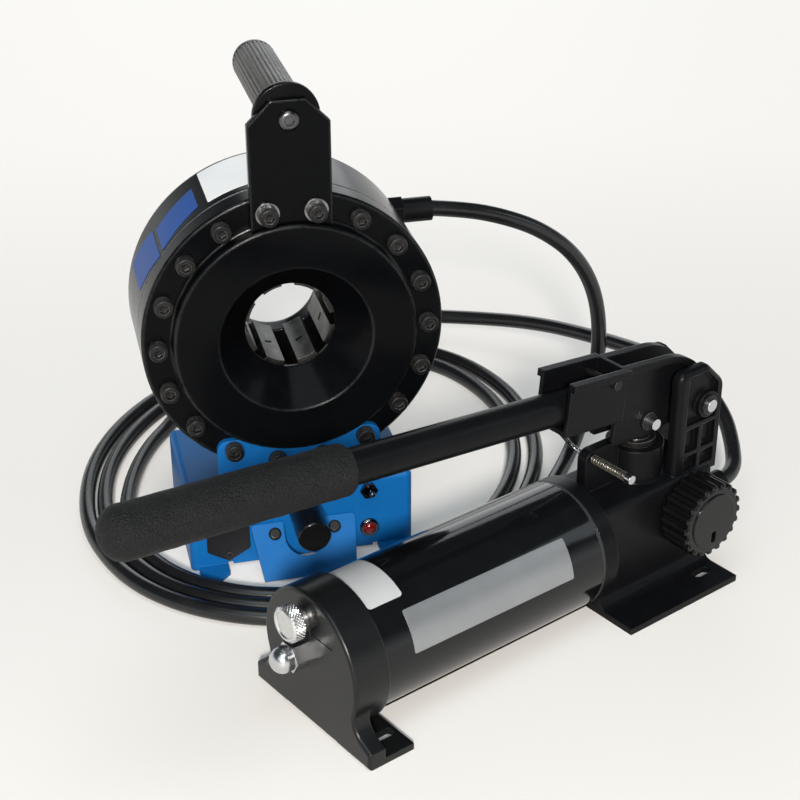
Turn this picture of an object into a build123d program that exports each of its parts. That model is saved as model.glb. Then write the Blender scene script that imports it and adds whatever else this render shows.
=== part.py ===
from build123d import *
import os
from math import ceil, cos, hypot, pi, radians, sin, sqrt, tan

# Portable hydraulic hose crimper: a crimping head on a sheet-metal stand, fed by a two-stage hand
# pump through a coiled hose. Millimetres, +Z up, +X from the front cap of the pump to its block,
# origin on the floor in the middle of the pump's four mounting slots.
os.makedirs("parts", exist_ok=True)

# Clearances
run_gap = 0.3          # between pieces that move past one another
fit = 0.05             # radial play of a shaft in its bore
hole_play = 0.1        # radial play of a screw in its hole

# Mounting slots and feet of the pump
slot_pitch_x = 285.0
slot_pitch_y = 84.0
slot_w = 7.2
slot_len = 16.0
foot_w = 120.0
foot_t = 4.8
front_slot_in = 24.0   # front face of the pump to the front slots
rear_slot_in = 100.0   # rear end of the tank to the rear slots

# Tank and front cap
tank_z = 48.0
tank_r = 44.5
tank_wall = 3.0
gasket_t = 2.0
cap_r = 47.5
cap_len = 26.0
cap_floor = 16.0       # front face to the seat of the tank
cap_rib_t = 12.0
cap_rib_h = 11.7
cap_blend_z = 22.0     # where the slope of the foot meets the round of the cap
cap_blend_r = 14.0
cap_foot_len = 34.0
cap_edge_r = 2.4
cap_arch_w = 54.0
cap_arch_h = 2.0
fill_y = 6.0
fill_z = 76.0
fill_cap_r = 12.0
fill_cap_t = 9.0
fill_neck_r = 8.5
fill_neck_t = 4.0
fill_stem_r = 7.0
tie_y = 8.0
tie_z = 50.0
tie_rod_r = 5.0
tie_bite = 14.0
nut_af = 18.0
nut_t = 10.0
nut_dome_r = 8.6
nut_dome_len = 12.0
nut_dome_round = 0.94    # share of the dome's radius that is rounded

# Pump block, with its boss, lug and post
flange_len = 12.0
spigot_len = 6.0
spigot_play = 0.1
block_len = 104.0
block_w = 56.0
block_h = 80.0
block_crown = 2.0
block_blend_r = 9.0
block_edge_r = 5.0
boss_x = 67.0          # from the rear end of the tank
boss_r = 20.0
boss_top = 106.0
lug_x = 17.0
lug_t = 8.0
lug_top = 113.0
lug_corner_r = 7.0
lug_bite = 1.0         # into the boss
ear_x0 = 81.0
ear_x1 = 123.0
ear_top = 159.0
ear_in = 17.5          # from the middle plane to the inner face of an ear
ear_t = 8.0
ear_chamfer = 14.0
ear_corner_r = 7.0
ear_edge_r = 4.5
ear_rim = 4.0
ear_front_rim = 8.5
ear_pocket = 4.0
ear_rib_t = 3.0
ear_rib_z = (95.0, 116.0)
ear_boss_r = 9.5
bore_floor = 20.0

# Lever: pivot, plunger, yoke and handle
pivot_x = 110.5        # from the rear end of the tank
pivot_z = 128.5
pivot_r = 4.5
pivot_end = 3.5        # pin past the ear
clip_t = 1.6
clip_w = 2.4
plunger_r = 10.0
plunger_pin_r = 4.0
plunger_pin_z = 124.6
plunger_pin_end = 19.0
tongue_t = 13.0
tongue_wall = 5.0
plunger_low = 60.0
pin_swing = 6.0        # fore and aft travel of the pin in the slotted eye
pin_lift_play = 0.6
gland_r = 14.0
gland_t = 4.0
handle_tilt = 5.78
handle_rise = 14.2     # handle axis above the pivot
tube_r = 11.5
tube_wall = 2.5
grip_r = 16.0
grip_len = 162.0
grip_tip = 454.0       # from the pivot
grip_round = 13.5
grip_cover = 8.0       # closed end of the grip
yoke_front = 124.5     # from the pivot
yoke_neck = 75.5
yoke_gap = 16.0        # between the plates, behind the neck
yoke_t = 3.0
yoke_ridge = 22.5      # above the handle axis
yoke_lip_w = 3.0
yoke_lip_h = 5.0
yoke_lobe_r = 10.5
yoke_pin_lobe_r = 11.5
yoke_arc_x = 32.0      # from the pivot, where the ridge starts to curve down
yoke_skirt_r = 3.0
yoke_hub_r = 8.0
yoke_bolt_r = 2.5
yoke_bolt_head_r = 3.2
yoke_bolt_head_h = 2.4
yoke_bolt_x = 84.0
yoke_bolt_up = 14.3    # above the handle axis

# Carrying latch under the yoke
latch_x = 23.0         # from the rear end of the tank
latch_z = 108.0
latch_rod_r = 2.0
latch_reach = 41.0
latch_far = 9.0
latch_button_r = 3.1
latch_button_t = 5.0
latch_wire_r = 1.5
latch_wire_run = 14.0
latch_hook_x = 24.0
latch_hook_gap = 2.2   # wire's middle below the yoke
latch_bend_r = 4.0
spring_turns = 14
spring_wire_r = 0.45
spring_r = 2.75
spring_len = 30.5

# Release valve
valve_x = 93.0         # from the rear end of the tank
valve_z = 55.5
valve_knob_r = 25.0
valve_rib_r = 2.6
valve_ribs = 20
valve_knob_t = 24.0
valve_knob_gap = 2.0
valve_edge = 1.2
valve_disc_r = 20.5
valve_disc_h = 1.2
valve_disc_edge = 0.8
valve_key_w = 4.5
valve_key_len = 9.0
valve_key_down = 12.0
valve_key_depth = 4.0
valve_stem_r = 5.0
valve_bite = 16.0
valve_knob_bite = 18.0

# Crimping head: flange face to the front, bore axis level
head_x = -58.6
head_y = 160.4
head_z = 175.3
head_yaw = -24.56
head_r = 103.2
head_len = 84.0
flange_t = 18.0
disc_r = 83.0
disc_h = 10.0
disc_edge = 1.2
funnel_r = 52.5
funnel_depth = 15.0
bore_r = 31.4
hub_r = 60.0
hub_len = 8.0
rear_bore_r = 32.5
port_r = 5.0
port_ring_r = 77.0
port_angle = 31.0
screw_ring_r = 92.5
screw_count = 18
screw_r = 4.0
screw_head_r = 6.5
screw_head_h = 8.0
screw_socket = 6.0
screw_socket_depth = 4.0
screw_bite = 12.0

# Dies and ring piston
die_count = 8
die_in_r = 28.5
die_w = 13.6
die_len = 58.7
die_tail_r = 46.0
die_toe = 12.7
die_taper = 30.0
piston_r = 88.0
piston_stroke = 14.0
piston_front_gap = 1.0
piston_cone_len = 23.0
piston_skirt_len = 18.0
sleeve_r = 66.0
sleeve_t = 4.0
seal_w = 3.0
seal_t = 2.0
seal_back = 5.0        # behind the piston's cone

# Carrying grip on the head
bracket_w = 54.0
bracket_t = 6.0
bracket_shoulder = 150.5
bracket_top = 166.0
bracket_top_w = 23.0
bracket_gap = 0.6
washer_r = 8.0
washer_t = 1.6
carry_up = 153.0       # grip axis above the bore axis
carry_r = 15.5
carry_len = 127.0
carry_round = 10.0
carry_collar_r = 22.0
carry_collar_t = 6.0
carry_flutes = 16
carry_flute_r = 1.6
carry_flute_in = 10.0
carry_bolt_r = 5.0
carry_bolt_head_r = 7.0
carry_bolt_head_h = 4.0
carry_bolt_round = 3.0
carry_bolt_len = 100.0

# Sheet-metal stand
stand_w = 162.0
stand_h = 60.0
stand_depth = 105.0
stand_front = 5.0      # panel face ahead of the flange face
sheet_t = 3.0
bend_r = 5.0
tab_w = 115.0
tab_top = 102.0
tab_corner_r = 8.0
toe_w = 26.0
toe_len = 18.0
toe_t = 3.0
toe_chamfer = 7.0
panel_lift = 2.0
relief_w = 4.0
relief_h = 4.0

# Guard plate in front of the setting knob
guard_reach = 31.0
guard_rise = 36.0
guard_foot = 3.0
guard_t = 3.0
guard_top_w = 76.0
guard_low_w = 66.0
guard_notch_w = 29.0
guard_notch_low = 17.5
guard_corner_r = 3.0
guard_screw_x = 21.5
guard_screw_up = 35.6
guard_screw_r = 2.5
guard_screw_head_r = 4.5
guard_screw_head_h = 2.6
guard_screw_round = 1.6
guard_post_r = 5.0

# Setting knob, switch, lamp and battery cover on the panel
setting_z = 45.0
setting_r = 11.5
setting_len = 43.0
setting_edge = 1.0
spindle_r = 4.0
spindle_in = 20.0
spindle_back = 20.0
bush_r = 9.0
bush_t = 3.7
bush_neck_r = 6.0
bush_nut_t = 4.0
bush_nut_r = 8.5
panel_in = 32.5        # right side of the stand to the switch and the lamp
switch_z = 49.0
switch_nut_r = 6.5
switch_nut_t = 3.0
switch_neck_r = 4.5
switch_body_w = 12.0
switch_body_l = 18.0
lever_r = 1.6
lever_tip_r = 2.4
lever_len = 13.0
lever_ball_r = 3.0
lever_tilt = 14.0
lamp_z = 18.0
lamp_bezel_r = 7.0
lamp_bezel_t = 3.0
lamp_lens_r = 4.6
lamp_lens_h = 5.0
lamp_lens_round = 3.2
lamp_neck_r = 5.6
lamp_neck_len = 8.0
cover_in = 27.0        # left side of the stand to the battery cover
cover_z = 24.0
cover_r = 17.6
cover_t = 2.5
cover_screw_r = 2.0
cover_screw_head_h = 1.2
cover_screw_up = 12.0
battery_w = 20.0
battery_h = 24.0
battery_depth = 40.0

# Hose and its fittings
hose_r = 6.0
elbow_hex = 22.0
elbow_hex_t = 8.0
elbow_r = 10.0
elbow_out = 20.0       # axis of the arm behind the head
elbow_arm_r = 9.0
elbow_arm = 24.0
outlet_z = 37.0
outlet_hex = 22.0
outlet_len = 13.0
outlet_bore = 15.0
ferrule_hex = 19.0
ferrule_nut_t = 10.0
ferrule_r = 9.0
ferrule_len = 22.0
coil_x = 23.5
coil_y = 256.0
coil_tilt = 31.2       # long axis of the oval from +X
coil_tight_r = 155.0
coil_shift = 64.0
coil_pitch = 13.0
coil_turns = 2.5
coil_end_r = 160.0
lead_out_run = 38.0    # straight part of the hose behind its upper end
lead_down_run = 56.0   # last run of the hose before the coil
lead_up_run = 45.0     # first run of the hose after the coil
lead_rise_run = 70.0
lead_rise = 17.0
lead_in_run = 26.0     # straight part of the hose ahead of the pump
lead_share = 0.45      # of the shorter run that each bend takes up

# Places that follow from the sizes above
front_x = -(slot_pitch_x / 2 + front_slot_in)
tank_end_x = slot_pitch_x / 2 - rear_slot_in
block_x = tank_end_x + flange_len
block_end_x = block_x + block_len
switch_x = stand_w / 2 - panel_in
cover_x = cover_in - stand_w / 2

head_right = Vector(cos(radians(head_yaw)), sin(radians(head_yaw)), 0)
head_front = Vector(sin(radians(head_yaw)), -cos(radians(head_yaw)), 0)
# On the flange face: x to the right, y up from the bore axis, z out of the face
face = Plane(origin=(head_x, head_y, head_z), x_dir=head_right, z_dir=head_front)
# Through the bore axis: x outwards, y out of the face
section = Plane(origin=face.origin, x_dir=head_right, z_dir=(0, 0, -1))
# On the floor below the flange face: x to the right, y to the back
head_floor = Plane(origin=(head_x, head_y, 0), x_dir=head_right, z_dir=(0, 0, 1))
panel = Plane(origin=head_floor.from_local_coords((0, -stand_front, 0)), x_dir=head_right, z_dir=head_front)
bore_axis = Axis(face.origin, head_front)
screw_hole_r = screw_r + hole_play
screw_step = 360 / screw_count
die_front = flange_t + run_gap
die_rear = die_front + die_len
die_slope = tan(radians(die_taper))
die_top_r = die_tail_r + (die_len - die_toe) * die_slope
piston_front = flange_t + piston_stroke + piston_front_gap
piston_ledge = piston_front + piston_cone_len
piston_rear = piston_ledge + piston_skirt_len
chamber_end = max(die_rear, piston_rear) + run_gap


# Front flange with its raised disc and funnel
with BuildPart() as front_flange:
    with BuildSketch(section):
        with BuildLine():
            Polyline(
                (bore_r, -flange_t),
                (bore_r, -funnel_depth),
                (funnel_r, disc_h),
                (disc_r - disc_edge, disc_h),
                (disc_r, disc_h - disc_edge),
                (disc_r, 0),
                (head_r - disc_edge, 0),
                (head_r, -disc_edge),
                (head_r, -flange_t),
                close=True,
            )
        make_face()
    revolve(axis=bore_axis)
    with BuildSketch(face):
        with PolarLocations(screw_ring_r, screw_count):
            Circle(screw_hole_r)
    extrude(amount=-flange_t, mode=Mode.SUBTRACT)
front_flange.part.label = "front_flange"
export_step(front_flange.part, "parts/front_flange.step")

# Cylinder body: outer wall, end wall, inner sleeve of the ring chamber and rear hub in one piece
with BuildPart() as cylinder_body:
    with BuildSketch(section):
        with BuildLine():
            Polyline(
                (piston_r + fit, -flange_t),
                (head_r, -flange_t),
                (head_r, -head_len + disc_edge),
                (head_r - disc_edge, -head_len),
                (hub_r, -head_len),
                (hub_r, -head_len - hub_len),
                (rear_bore_r, -head_len - hub_len),
                (rear_bore_r, -chamber_end),
                (sleeve_r - sleeve_t, -chamber_end),
                (sleeve_r - sleeve_t, -piston_ledge - run_gap),
                (sleeve_r, -piston_ledge - run_gap),
                (sleeve_r, -chamber_end),
                (piston_r + fit, -chamber_end),
                close=True,
            )
        make_face()
    revolve(axis=bore_axis)
    with BuildSketch(face.offset(-flange_t)):
        with PolarLocations(screw_ring_r, screw_count):
            Circle(screw_hole_r)
    extrude(amount=-screw_bite - hole_play, mode=Mode.SUBTRACT)
    with BuildSketch(face.offset(-head_len)):
        with PolarLocations(port_ring_r, 1, start_angle=port_angle):
            Circle(port_r)
    extrude(amount=head_len - chamber_end, mode=Mode.SUBTRACT)
cylinder_body.part.label = "cylinder_body"
export_step(cylinder_body.part, "parts/cylinder_body.step")

# Ring piston: flat-sided cone in front, seal skirt behind
seal_front = piston_ledge + seal_back
with BuildPart() as ring_piston:
    with BuildSketch(face.offset(-piston_front)):
        Circle(piston_r)
    extrude(amount=-piston_cone_len)
    with BuildSketch(face.offset(-piston_ledge)):
        Circle(piston_r)
        Circle(sleeve_r + fit, mode=Mode.SUBTRACT)
    extrude(amount=-piston_skirt_len)
    for depth in (piston_front, piston_ledge):
        with BuildSketch(face.offset(-depth)):
            flat_r = die_tail_r + (die_rear - depth) * die_slope + run_gap
            RegularPolygon(flat_r, die_count, major_radius=False)
    loft(mode=Mode.SUBTRACT)
    with BuildSketch(face.offset(-seal_front)):
        Circle(piston_r)
        Circle(piston_r - seal_t, mode=Mode.SUBTRACT)
        Circle(sleeve_r + fit + seal_t)
        Circle(sleeve_r + fit, mode=Mode.SUBTRACT)
    extrude(amount=-seal_w, mode=Mode.SUBTRACT)
ring_piston.part.label = "ring_piston"
export_step(ring_piston.part, "parts/ring_piston.step")

# Outer and inner seal of the piston, in its grooves
with BuildPart() as piston_seals:
    with BuildSketch(face.offset(-seal_front)):
        Circle(piston_r)
        Circle(piston_r - seal_t, mode=Mode.SUBTRACT)
        Circle(sleeve_r + fit + seal_t)
        Circle(sleeve_r + fit, mode=Mode.SUBTRACT)
    extrude(amount=-seal_w)
piston_seals.part.label = "piston_seals"
export_step(piston_seals.part, "parts/piston_seals.step")

# Dies: a gap stands at the bottom of the ring, each back slides on its own flat of the piston
die_step = 360 / die_count
for number in range(die_count):
    die_turn = radians((number + 0.5) * die_step)
    die_out = head_right * cos(die_turn) + Vector(0, 0, sin(die_turn))
    die_face = Plane(origin=face.origin, x_dir=die_out, z_dir=head_front)
    die_side = Plane(origin=face.origin, x_dir=die_out, z_dir=die_out.cross(head_front))
    die_spread = (die_top_r - die_in_r) * tan(radians(die_step / 2))
    with BuildPart() as die:
        with BuildSketch(die_face.offset(-die_front)):
            Polygon(
                (die_in_r, -die_w / 2),
                (die_top_r, -die_w / 2 - die_spread),
                (die_top_r, die_w / 2 + die_spread),
                (die_in_r, die_w / 2),
                (die_in_r - die_w / 4, die_w / 2),
                (die_in_r - die_w / 4, -die_w / 2),
                align=None,
            )
            Circle(die_in_r, mode=Mode.SUBTRACT)
        extrude(amount=-die_len)
        with BuildSketch(die_side):
            Polygon(
                (die_tail_r, -die_rear),
                (die_top_r, -die_front - die_toe),
                (2 * die_top_r, -die_front - die_toe),
                (2 * die_top_r, -die_rear),
                align=None,
            )
        extrude(amount=die_top_r, both=True, mode=Mode.SUBTRACT)
    die.part.label = f"die_{number + 1}"
    export_step(die.part, f"parts/die_{number + 1}.step")

# Socket screws of the flange: plain ones, those through the stand, those through the grip bracket
bracket_turns = (80, 100)
stand_turns = (240, 260, 280, 300)
all_turns = [screw_step * number for number in range(screw_count)]
plain_turns = [turn for turn in all_turns if round(turn) not in bracket_turns + stand_turns]
screw_sets = (
    ("flange_screws", plain_turns, 0),
    ("stand_screws", stand_turns, stand_front),
    ("bracket_screws", bracket_turns, bracket_t + washer_t),
)
for set_name, turns, seat in screw_sets:
    places = [(screw_ring_r * cos(radians(turn)), screw_ring_r * sin(radians(turn))) for turn in turns]
    with BuildPart() as screws:
        with BuildSketch(face.offset(seat)):
            with Locations(*places):
                Circle(screw_head_r)
        extrude(amount=screw_head_h)
        with BuildSketch(face.offset(seat)):
            with Locations(*places):
                Circle(screw_r)
        extrude(amount=-seat - flange_t - screw_bite)
        with BuildSketch(face.offset(seat + screw_head_h)):
            with Locations(*places):
                RegularPolygon(screw_socket / 2, 6, major_radius=False)
        extrude(amount=-screw_socket_depth, mode=Mode.SUBTRACT)
    screws.part.label = set_name
    export_step(screws.part, f"parts/{set_name}.step")
bracket_places = [
    (screw_ring_r * cos(radians(turn)), screw_ring_r * sin(radians(turn))) for turn in bracket_turns
]
stand_places = [(screw_ring_r * cos(radians(turn)), screw_ring_r * sin(radians(turn))) for turn in stand_turns]

# Upright plate that carries the grip above the head
with BuildPart() as grip_bracket:
    with BuildSketch(face):
        Polygon(
            (-bracket_w / 2, 0),
            (bracket_w / 2, 0),
            (bracket_w / 2, bracket_shoulder),
            (bracket_top_w / 2, bracket_top),
            (-bracket_top_w / 2, bracket_top),
            (-bracket_w / 2, bracket_shoulder),
            align=None,
        )
        Circle(disc_r + bracket_gap, mode=Mode.SUBTRACT)
        with Locations(*bracket_places):
            Circle(screw_hole_r, mode=Mode.SUBTRACT)
        with Locations((0, carry_up)):
            Circle(carry_bolt_r + hole_play, mode=Mode.SUBTRACT)
    extrude(amount=bracket_t)
grip_bracket.part.label = "grip_bracket"
export_step(grip_bracket.part, "parts/grip_bracket.step")

with BuildPart() as bracket_washers:
    with BuildSketch(face.offset(bracket_t)):
        with Locations(*bracket_places):
            Circle(washer_r)
            Circle(screw_hole_r, mode=Mode.SUBTRACT)
    extrude(amount=washer_t)
bracket_washers.part.label = "bracket_washers"
export_step(bracket_washers.part, "parts/bracket_washers.step")

# Fluted carrying grip, pushed against the back of the bracket
grip_middle = Plane(origin=face.from_local_coords((0, carry_up, 0)), x_dir=head_right, z_dir=head_front)
with BuildPart() as carry_grip:
    with BuildSketch(grip_middle):
        Circle(carry_r)
    extrude(amount=-carry_collar_t - carry_len)
    fillet(carry_grip.faces().sort_by(bore_axis)[0].edges(), radius=carry_round)
    with BuildSketch(grip_middle.offset(-carry_collar_t - carry_flute_in)):
        with PolarLocations(carry_r, carry_flutes):
            Circle(carry_flute_r)
    extrude(amount=-carry_len + 2 * carry_flute_in, mode=Mode.SUBTRACT)
    with BuildSketch(grip_middle):
        Circle(carry_collar_r)
    extrude(amount=-carry_collar_t)
    with BuildSketch(grip_middle):
        Circle(carry_bolt_r + hole_play)
    extrude(amount=-carry_bolt_len - hole_play, mode=Mode.SUBTRACT)
carry_grip.part.label = "carry_grip"
export_step(carry_grip.part, "parts/carry_grip.step")

with BuildPart() as carry_bolt:
    with BuildSketch(grip_middle.offset(bracket_t)):
        Circle(carry_bolt_head_r)
    extrude(amount=carry_bolt_head_h)
    fillet(carry_bolt.faces().sort_by(bore_axis)[-1].edges(), radius=carry_bolt_round)
    with BuildSketch(grip_middle.offset(bracket_t)):
        Circle(carry_bolt_r)
    extrude(amount=-bracket_t - carry_bolt_len)
    with BuildSketch(grip_middle.offset(bracket_t + carry_bolt_head_h)):
        RegularPolygon(screw_socket / 2, 6, major_radius=False)
    extrude(amount=-carry_bolt_head_h / 2, mode=Mode.SUBTRACT)
carry_bolt.part.label = "carry_bolt"
export_step(carry_bolt.part, "parts/carry_bolt.step")

# Stand: folded box, open below, with the tab that the flange screws clamp and two toes on the floor
tab_low = stand_h - bend_r - head_z
with BuildPart() as stand_body:
    with BuildSketch(head_floor):
        with Locations((0, stand_depth / 2 - stand_front)):
            Rectangle(stand_w, stand_depth)
    extrude(amount=stand_h)
    fillet(stand_body.edges().filter_by(Axis.Z), radius=bend_r)
    fillet(stand_body.faces().sort_by(Axis.Z)[-1].edges(), radius=bend_r)
    offset(amount=-sheet_t, openings=stand_body.faces().sort_by(Axis.Z)[0])
    with BuildSketch(face):
        with Locations((0, (tab_low + tab_top - head_z) / 2)):
            RectangleRounded(tab_w, tab_top - head_z - tab_low, tab_corner_r)
        with Locations((0, tab_low)):
            Rectangle(tab_w, 2 * tab_corner_r, align=(Align.CENTER, Align.MIN))
        Circle(disc_r + bracket_gap, mode=Mode.SUBTRACT)
        with Locations(*stand_places):
            Circle(screw_hole_r, mode=Mode.SUBTRACT)
    extrude(amount=stand_front)
    # lifted lower edge between the toes, with a relief cut beside each toe
    with BuildSketch(panel):
        with Locations((0, panel_lift / 2)):
            Rectangle(stand_w - 2 * toe_w, panel_lift)
        for side in (-1, 1):
            with Locations((side * (stand_w / 2 - toe_w - relief_w / 2), relief_h / 2)):
                Rectangle(relief_w, relief_h)
    extrude(amount=-bend_r, mode=Mode.SUBTRACT)
    for side in (-1, 1):
        toe_out = side * (stand_w / 2 - bend_r)
        toe_in = side * (stand_w / 2 - toe_w)
        with BuildSketch(head_floor):
            Polygon(
                (toe_out, -stand_front + sheet_t),
                (toe_out, -stand_front - toe_len),
                (toe_in + side * toe_chamfer, -stand_front - toe_len),
                (toe_in, -stand_front - toe_len + toe_chamfer),
                (toe_in, -stand_front + sheet_t),
                align=None,
            )
        extrude(amount=toe_t)
    # openings for the setting bush, the switch, the lamp and the battery box
    with BuildSketch(panel):
        with Locations((0, setting_z)):
            Circle(bush_neck_r + hole_play)
        with Locations((switch_x, switch_z)):
            Circle(switch_neck_r + hole_play)
        with Locations((switch_x, lamp_z)):
            Circle(lamp_neck_r + hole_play)
        with Locations((cover_x, cover_z)):
            Rectangle(battery_w + 2 * run_gap, battery_h - 2 * cover_screw_r)
    extrude(amount=-2 * sheet_t, mode=Mode.SUBTRACT)
    with BuildSketch(panel):
        for side in (-1, 1):
            with Locations((cover_x, cover_z + side * cover_screw_up)):
                Circle(cover_screw_r / 2 + hole_play)
    extrude(amount=-sheet_t, mode=Mode.SUBTRACT)
stand_body.part.label = "stand_body"
export_step(stand_body.part, "parts/stand_body.step")

# Guard plate: leans from the panel to the floor, with a notch for the setting knob
guard_len = hypot(guard_reach, guard_rise)
guard_plane = Plane(
    origin=head_floor.from_local_coords((0, -stand_front - guard_reach, 0)),
    x_dir=head_right,
    z_dir=head_front * (guard_rise / guard_len) + Vector(0, 0, guard_reach / guard_len),
)
guard_top = (guard_reach - guard_t * guard_rise / guard_len) * guard_len / guard_reach
with BuildPart() as guard_plate:
    with BuildSketch(guard_plane) as guard_outline:
        Polygon(
            (-guard_low_w / 2, guard_foot),
            (guard_low_w / 2, guard_foot),
            (guard_top_w / 2, guard_top),
            (-guard_top_w / 2, guard_top),
            align=None,
        )
        fillet(guard_outline.vertices().group_by(Axis.Y)[-1], radius=guard_corner_r)
        with Locations((0, guard_notch_low + guard_notch_w / 2)):
            Circle(guard_notch_w / 2, mode=Mode.SUBTRACT)
        with Locations((0, guard_notch_low + guard_notch_w / 2)):
            Rectangle(guard_notch_w, guard_len, align=(Align.CENTER, Align.MIN), mode=Mode.SUBTRACT)
        with Locations((-guard_screw_x, guard_screw_up), (guard_screw_x, guard_screw_up)):
            Circle(guard_screw_r + hole_play, mode=Mode.SUBTRACT)
    extrude(amount=-guard_t)
guard_plate.part.label = "guard_plate"
export_step(guard_plate.part, "parts/guard_plate.step")

# Two short posts between the panel and the back of the guard
post_up = (guard_screw_up * guard_rise - guard_t * guard_reach) / guard_len
with BuildPart() as guard_posts:
    with BuildSketch(panel):
        with Locations((-guard_screw_x, post_up), (guard_screw_x, post_up)):
            Circle(guard_post_r)
    extrude(amount=guard_reach)
    with BuildSketch(guard_plane.offset(-guard_t)):
        Rectangle(2 * guard_top_w, 4 * guard_len)
    extrude(amount=guard_len, mode=Mode.SUBTRACT)
guard_posts.part.label = "guard_posts"
export_step(guard_posts.part, "parts/guard_posts.step")

with BuildPart() as guard_screws:
    guard_screw_places = [(-guard_screw_x, guard_screw_up), (guard_screw_x, guard_screw_up)]
    with BuildSketch(guard_plane):
        with Locations(*guard_screw_places):
            Circle(guard_screw_head_r)
    extrude(amount=guard_screw_head_h)
    fillet(guard_screws.faces().sort_by(Axis(guard_plane.origin, guard_plane.z_dir))[-2:].edges(), radius=guard_screw_round)
    with BuildSketch(guard_plane):
        with Locations(*guard_screw_places):
            Circle(guard_screw_r)
    extrude(amount=-guard_t)
guard_screws.part.label = "guard_screws"
export_step(guard_screws.part, "parts/guard_screws.step")

# Setting knob on its spindle, turning in a bush in the panel
setting_plane = Plane(origin=panel.from_local_coords((0, setting_z, 0)), x_dir=head_right, z_dir=head_front)
with BuildPart() as setting_bush:
    with BuildSketch(setting_plane):
        Circle(bush_r)
    extrude(amount=bush_t)
    with BuildSketch(setting_plane):
        Circle(bush_neck_r)
    extrude(amount=-sheet_t - bush_nut_t)
    with BuildSketch(setting_plane.offset(-sheet_t)):
        RegularPolygon(bush_nut_r, 6)
    extrude(amount=-bush_nut_t)
    with BuildSketch(setting_plane.offset(bush_t)):
        Circle(spindle_r + fit)
    extrude(amount=-bush_t - sheet_t - bush_nut_t, mode=Mode.SUBTRACT)
setting_bush.part.label = "setting_bush"
export_step(setting_bush.part, "parts/setting_bush.step")

with BuildPart() as setting_knob:
    with BuildSketch(setting_plane.offset(bush_t + run_gap)):
        Circle(setting_r)
        Circle(spindle_r, mode=Mode.SUBTRACT)
    extrude(amount=spindle_in)
    with BuildSketch(setting_plane.offset(bush_t + run_gap + spindle_in)):
        Circle(setting_r)
    extrude(amount=setting_len - spindle_in)
    chamfer(setting_knob.faces().sort_by(bore_axis)[-1].edges(), length=setting_edge)
setting_knob.part.label = "setting_knob"
export_step(setting_knob.part, "parts/setting_knob.step")

with BuildPart() as setting_spindle:
    with BuildSketch(setting_plane.offset(bush_t + run_gap + spindle_in)):
        Circle(spindle_r)
    extrude(amount=-bush_t - run_gap - spindle_in - spindle_back)
setting_spindle.part.label = "setting_spindle"
export_step(setting_spindle.part, "parts/setting_spindle.step")

# Toggle switch: nut and body on the panel, lever with a ball end
switch_plane = Plane(origin=panel.from_local_coords((switch_x, switch_z, 0)), x_dir=head_right, z_dir=head_front)
lever_run = head_front * cos(radians(lever_tilt)) + Vector(0, 0, sin(radians(lever_tilt)))
lever_plane = Plane(origin=switch_plane.origin, x_dir=head_right, z_dir=lever_run)
with BuildPart() as switch_body:
    with BuildSketch(switch_plane):
        RegularPolygon(switch_nut_r, 6)
    extrude(amount=switch_nut_t)
    with BuildSketch(switch_plane):
        Circle(switch_neck_r)
    extrude(amount=-sheet_t)
    with BuildSketch(switch_plane.offset(-sheet_t)):
        Rectangle(switch_body_w, switch_body_w)
    extrude(amount=-switch_body_l)
    with BuildSketch(switch_plane.offset(switch_nut_t)):
        Circle(lever_ball_r + run_gap)
    extrude(amount=-switch_nut_t - lever_ball_r - run_gap, mode=Mode.SUBTRACT)
switch_body.part.label = "switch_body"
export_step(switch_body.part, "parts/switch_body.step")

with BuildPart() as switch_lever:
    with BuildSketch(lever_plane):
        Circle(lever_r)
    with BuildSketch(lever_plane.offset(lever_len)):
        Circle(lever_tip_r)
    loft()
    with Locations(lever_plane):
        Sphere(lever_ball_r)
    with Locations(lever_plane.offset(lever_len)):
        Sphere(lever_tip_r)
switch_lever.part.label = "switch_lever"
export_step(switch_lever.part, "parts/switch_lever.step")

# Lamp: bezel with its neck, and a domed lens
lamp_plane = Plane(origin=panel.from_local_coords((switch_x, lamp_z, 0)), x_dir=head_right, z_dir=head_front)
with BuildPart() as lamp_bezel:
    with BuildSketch(lamp_plane):
        Circle(lamp_bezel_r)
    extrude(amount=lamp_bezel_t)
    chamfer(lamp_bezel.faces().sort_by(bore_axis)[-1].edges(), length=lamp_bezel_t / 3)
    with BuildSketch(lamp_plane):
        Circle(lamp_neck_r)
    extrude(amount=-lamp_neck_len)
    with BuildSketch(lamp_plane.offset(lamp_bezel_t)):
        Circle(lamp_lens_r)
    extrude(amount=-2 * lamp_bezel_t, mode=Mode.SUBTRACT)
lamp_bezel.part.label = "lamp_bezel"
export_step(lamp_bezel.part, "parts/lamp_bezel.step")

with BuildPart() as lamp_lens:
    with BuildSketch(lamp_plane.offset(-lamp_bezel_t)):
        Circle(lamp_lens_r)
    extrude(amount=lamp_bezel_t + lamp_lens_h)
    fillet(lamp_lens.faces().sort_by(bore_axis)[-1].edges(), radius=lamp_lens_round)
lamp_lens.part.label = "lamp_lens"
export_step(lamp_lens.part, "parts/lamp_lens.step")

# Battery box behind the panel, under a six-sided cover with two screws
cover_plane = Plane(origin=panel.from_local_coords((cover_x, cover_z, 0)), x_dir=head_right, z_dir=head_front)
cover_places = [(0, -cover_screw_up), (0, cover_screw_up)]
with BuildPart() as battery_cover:
    with BuildSketch(cover_plane):
        RegularPolygon(cover_r, 6, rotation=30)
        with Locations(*cover_places):
            Circle(cover_screw_r / 2 + hole_play, mode=Mode.SUBTRACT)
    extrude(amount=cover_t)
battery_cover.part.label = "battery_cover"
export_step(battery_cover.part, "parts/battery_cover.step")

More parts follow.
